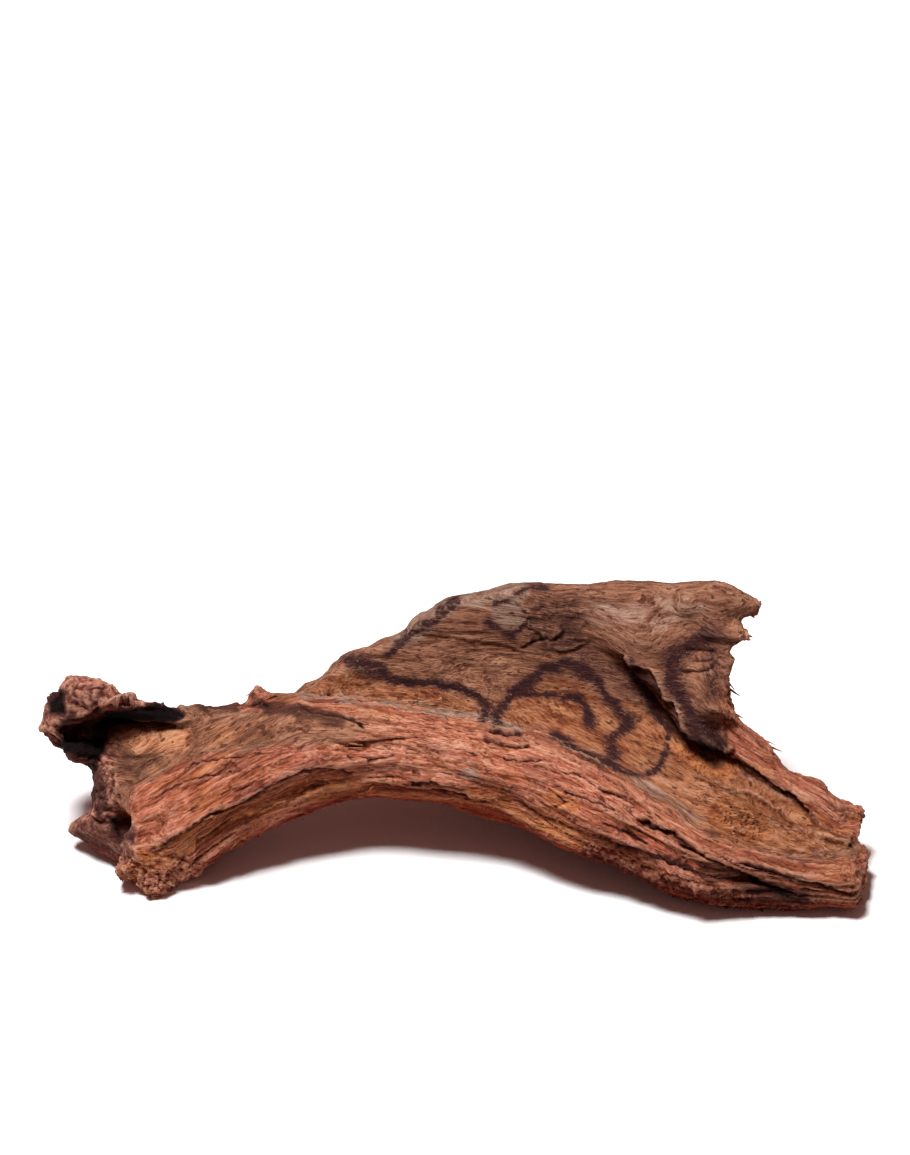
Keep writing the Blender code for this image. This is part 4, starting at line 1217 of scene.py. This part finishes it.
# %% Scattering inputs and helpers
tree = bpy.data.node_groups.new("scattered_bits", "GeometryNodeTree")
FIELDS = (("Skin", "Geometry"), ("Shape", "Object"), ("Where", "String"), ("Density", "Float"),
          ("Shortest", "Float"), ("Longest", "Float"), ("Width", "Float"), ("Lean", "Float"),
          ("Tumble", "Float"), ("Finish", "Material"), ("Seed", "Int"))
for name, kind in FIELDS:
    tree.interface.new_socket(name=name, in_out="INPUT", socket_type="NodeSocket" + kind)
tree.interface.new_socket(name="Bits", in_out="OUTPUT", socket_type="NodeSocketGeometry")
given = put("NodeGroupInput").outputs


def shown(sockets, name):
    """The socket of that name that the node's settings leave in use."""
    return next(socket for socket in sockets if socket.name == name and socket.enabled)


def stored(name, kind="FLOAT_VECTOR"):
    """A named value of the geometry."""
    node = put("GeometryNodeInputNamedAttribute", {"data_type": kind})
    feed(node.inputs["Name"], name)
    return shown(node.outputs, "Attribute")


def vectors(operation, first, second):
    """One sum on two vectors, or on a vector and a number for SCALE."""
    node = put("ShaderNodeVectorMath", {"operation": operation})
    slots = (node.inputs[0], node.inputs["Scale"] if operation == "SCALE" else node.inputs[1])
    for socket, value in zip(slots, (first, second)):
        feed(socket, value)
    return node.outputs[0]


def chance(low, high, seed_shift, kind="FLOAT"):
    """A random number or vector for each point, the same every time."""
    node = put("FunctionNodeRandomValue", {"data_type": kind})
    for name, value in (("Min", low), ("Max", high)):
        feed(shown(node.inputs, name), value)
    tree.links.new(arithmetic("ADD", given["Seed"], seed_shift), node.inputs["Seed"])
    return shown(node.outputs, "Value")


print("inputs:", ", ".join(name for name, kind in FIELDS))

# %% [markdown]
# Inside the tree, the points are spread first. Each remembers its place, because the grain value
# of a copy is the value at its root plus the way from there. Then come the turning and the
# sizes, the copies themselves, and last the material.

# %% Scattering tree
spread = put("GeometryNodeDistributePointsOnFaces", Mesh=given["Skin"],
             Density=arithmetic("MULTIPLY", stored(given["Where"], "FLOAT"), given["Density"]),
             Seed=given["Seed"])
place_now = put("GeometryNodeInputPosition").outputs[0]
rooted = put("GeometryNodeStoreNamedAttribute", {"data_type": "FLOAT_VECTOR"},
             Geometry=spread.outputs["Points"], Name="root_place")
tree.links.new(place_now, shown(rooted.inputs, "Value"))
along = vectors("ADD", stored("lie"), vectors("SCALE", spread.outputs["Normal"],
                                               chance(0.05, given["Lean"], 1)))
along = vectors("ADD", along, vectors("SCALE", chance((-1, -1, -1), (1, 1, 1), 2, "FLOAT_VECTOR"),
                                      given["Tumble"]))
turned = put("FunctionNodeAlignRotationToVector", {"axis": "Z"}, Vector=along)
turned = put("FunctionNodeAlignRotationToVector", {"axis": "Y", "pivot_axis": "Z"},
             Rotation=turned.outputs[0], Vector=spread.outputs["Normal"])
length = chance(given["Shortest"], given["Longest"], 3)
width = arithmetic("MULTIPLY", chance(0.5, 1.2, 4), given["Width"])
size = put("ShaderNodeCombineXYZ", X=width, Y=width, Z=length)
copies = put("GeometryNodeInstanceOnPoints", Points=rooted.outputs[0],
             Instance=put("GeometryNodeObjectInfo", Object=given["Shape"]).outputs["Geometry"],
             Rotation=turned.outputs[0], Scale=size.outputs[0])
real = put("GeometryNodeRealizeInstances", Geometry=copies.outputs[0])
moved = vectors("SCALE", vectors("SUBTRACT", place_now, stored("root_place")), 1 / MM)
grained = put("GeometryNodeStoreNamedAttribute", {"data_type": "FLOAT_VECTOR"},
              Geometry=real.outputs[0], Name="grain")
tree.links.new(vectors("ADD", stored("grain"), moved), shown(grained.inputs, "Value"))
finished = put("GeometryNodeSetMaterial", Geometry=grained.outputs[0], Material=given["Finish"])
put("NodeGroupOutput", Bits=finished.outputs[0])
SOCKET = {item.name: item.identifier for item in tree.interface.items_tree if item.in_out == "INPUT"}
scatter = tree
print("scattering tree nodes:", len(scatter.nodes))

# %% [markdown]
# The same tree makes all three kinds of bits, and a table holds what differs. Each result is
# turned into a plain mesh, is kept above the floor and rides with the wood.

# %% Frayed fibres, slivers and crumbs
# Name, shape, value that asks for it, number to a square metre, shortest and longest in
# millimetres, half width in millimetres, lean out of the wood, tumble.
FIRST_SEED = 11
BITS = [
    ("frayed_fibres", sliver, "frayed", 450000, 0.8, 1.7, 0.75, 0.25, 0.8),
    ("loose_slivers", sliver, "slivered", 80000, 2.0, 6.0, 0.6, 0.08, 0.04),
    ("crumbs", lump, "crumbled", 400000, 0.4, 0.9, 0.6, 0.5, 1.5),
]
for number, (name, shape, where, density, shortest, longest, half_width, lean, tumble) in enumerate(BITS):
    bits = bpy.data.objects.new(name, skin.data.copy())
    bpy.context.scene.collection.objects.link(bits)
    maker = bits.modifiers.new("scatter", "NODES")
    maker.node_group = scatter
    for field, value in (("Shape", shape), ("Where", where), ("Density", float(density)),
                         ("Shortest", shortest * MM), ("Longest", longest * MM),
                         ("Width", half_width * MM), ("Lean", lean), ("Tumble", tumble),
                         ("Finish", wood), ("Seed", FIRST_SEED + number)):
        maker[SOCKET[field]] = value
    settle(bits)
    settled = read_points(bits.data)
    settled[:, 2] = np.maximum(settled[:, 2], FLOOR_GAP * MM)
    put_points(bits.data, settled)
    print(name, "triangles:", sum(len(p.vertices) - 2 for p in bits.data.polygons))
    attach(bits, "root")
for shape in (sliver, lump):
    bpy.data.objects.remove(shape)

# %% [markdown]
# The wood stands on plain white paper. One soft lamp high up at the left throws the shadow under
# the arch towards the viewer's side, and a dim warm surround keeps the shadow from going black.

# %% Floor and light
FLOOR_HALF = 6.0
PAPER_WHITE = (0.9, 0.9, 0.9, 1)
PAPER_ROUGHNESS = 0.9
SURROUND_COLOUR = (1.0, 0.49, 0.42, 1)
SURROUND_STRENGTH = 0.19
LAMP_PLACE = (-0.45, 0.0, 1.95)
LAMP_TARGET = (0, 0, 0.03)
LAMP_SIZE = 0.6
LAMP_POWER = 70
floor_mesh = bpy.data.meshes.new("studio_floor")
floor_mesh.from_pydata([(-FLOOR_HALF, -FLOOR_HALF, 0), (FLOOR_HALF, -FLOOR_HALF, 0),
                        (FLOOR_HALF, FLOOR_HALF, 0), (-FLOOR_HALF, FLOOR_HALF, 0)], [], [(0, 1, 2, 3)])
floor = bpy.data.objects.new("studio_floor", floor_mesh)
bpy.context.scene.collection.objects.link(floor)
paper = bpy.data.materials.new("white_paper")
paper.use_nodes = True
paper.node_tree.nodes["Principled BSDF"].inputs["Base Color"].default_value = PAPER_WHITE
paper.node_tree.nodes["Principled BSDF"].inputs["Roughness"].default_value = PAPER_ROUGHNESS
floor_mesh.materials.append(paper)

world = bpy.data.worlds.new("studio")
bpy.context.scene.world = world
world.use_nodes = True
world.node_tree.nodes["Background"].inputs["Color"].default_value = SURROUND_COLOUR
world.node_tree.nodes["Background"].inputs["Strength"].default_value = SURROUND_STRENGTH


def softbox(name, place, target, size, power):
    """A soft square lamp at place, turned to target."""
    data = bpy.data.lights.new(name, "AREA")
    data.size = size
    data.energy = power
    lamp = bpy.data.objects.new(name, data)
    bpy.context.scene.collection.objects.link(lamp)
    lamp.location = place
    lamp.rotation_mode = "QUATERNION"
    lamp.rotation_quaternion = (Vector(target) - Vector(place)).to_track_quat("-Z", "Y")


softbox("key_light", LAMP_PLACE, LAMP_TARGET, LAMP_SIZE, LAMP_POWER)
bpy.context.scene.view_settings.view_transform = "Standard"
print("lamp, W:", LAMP_POWER)
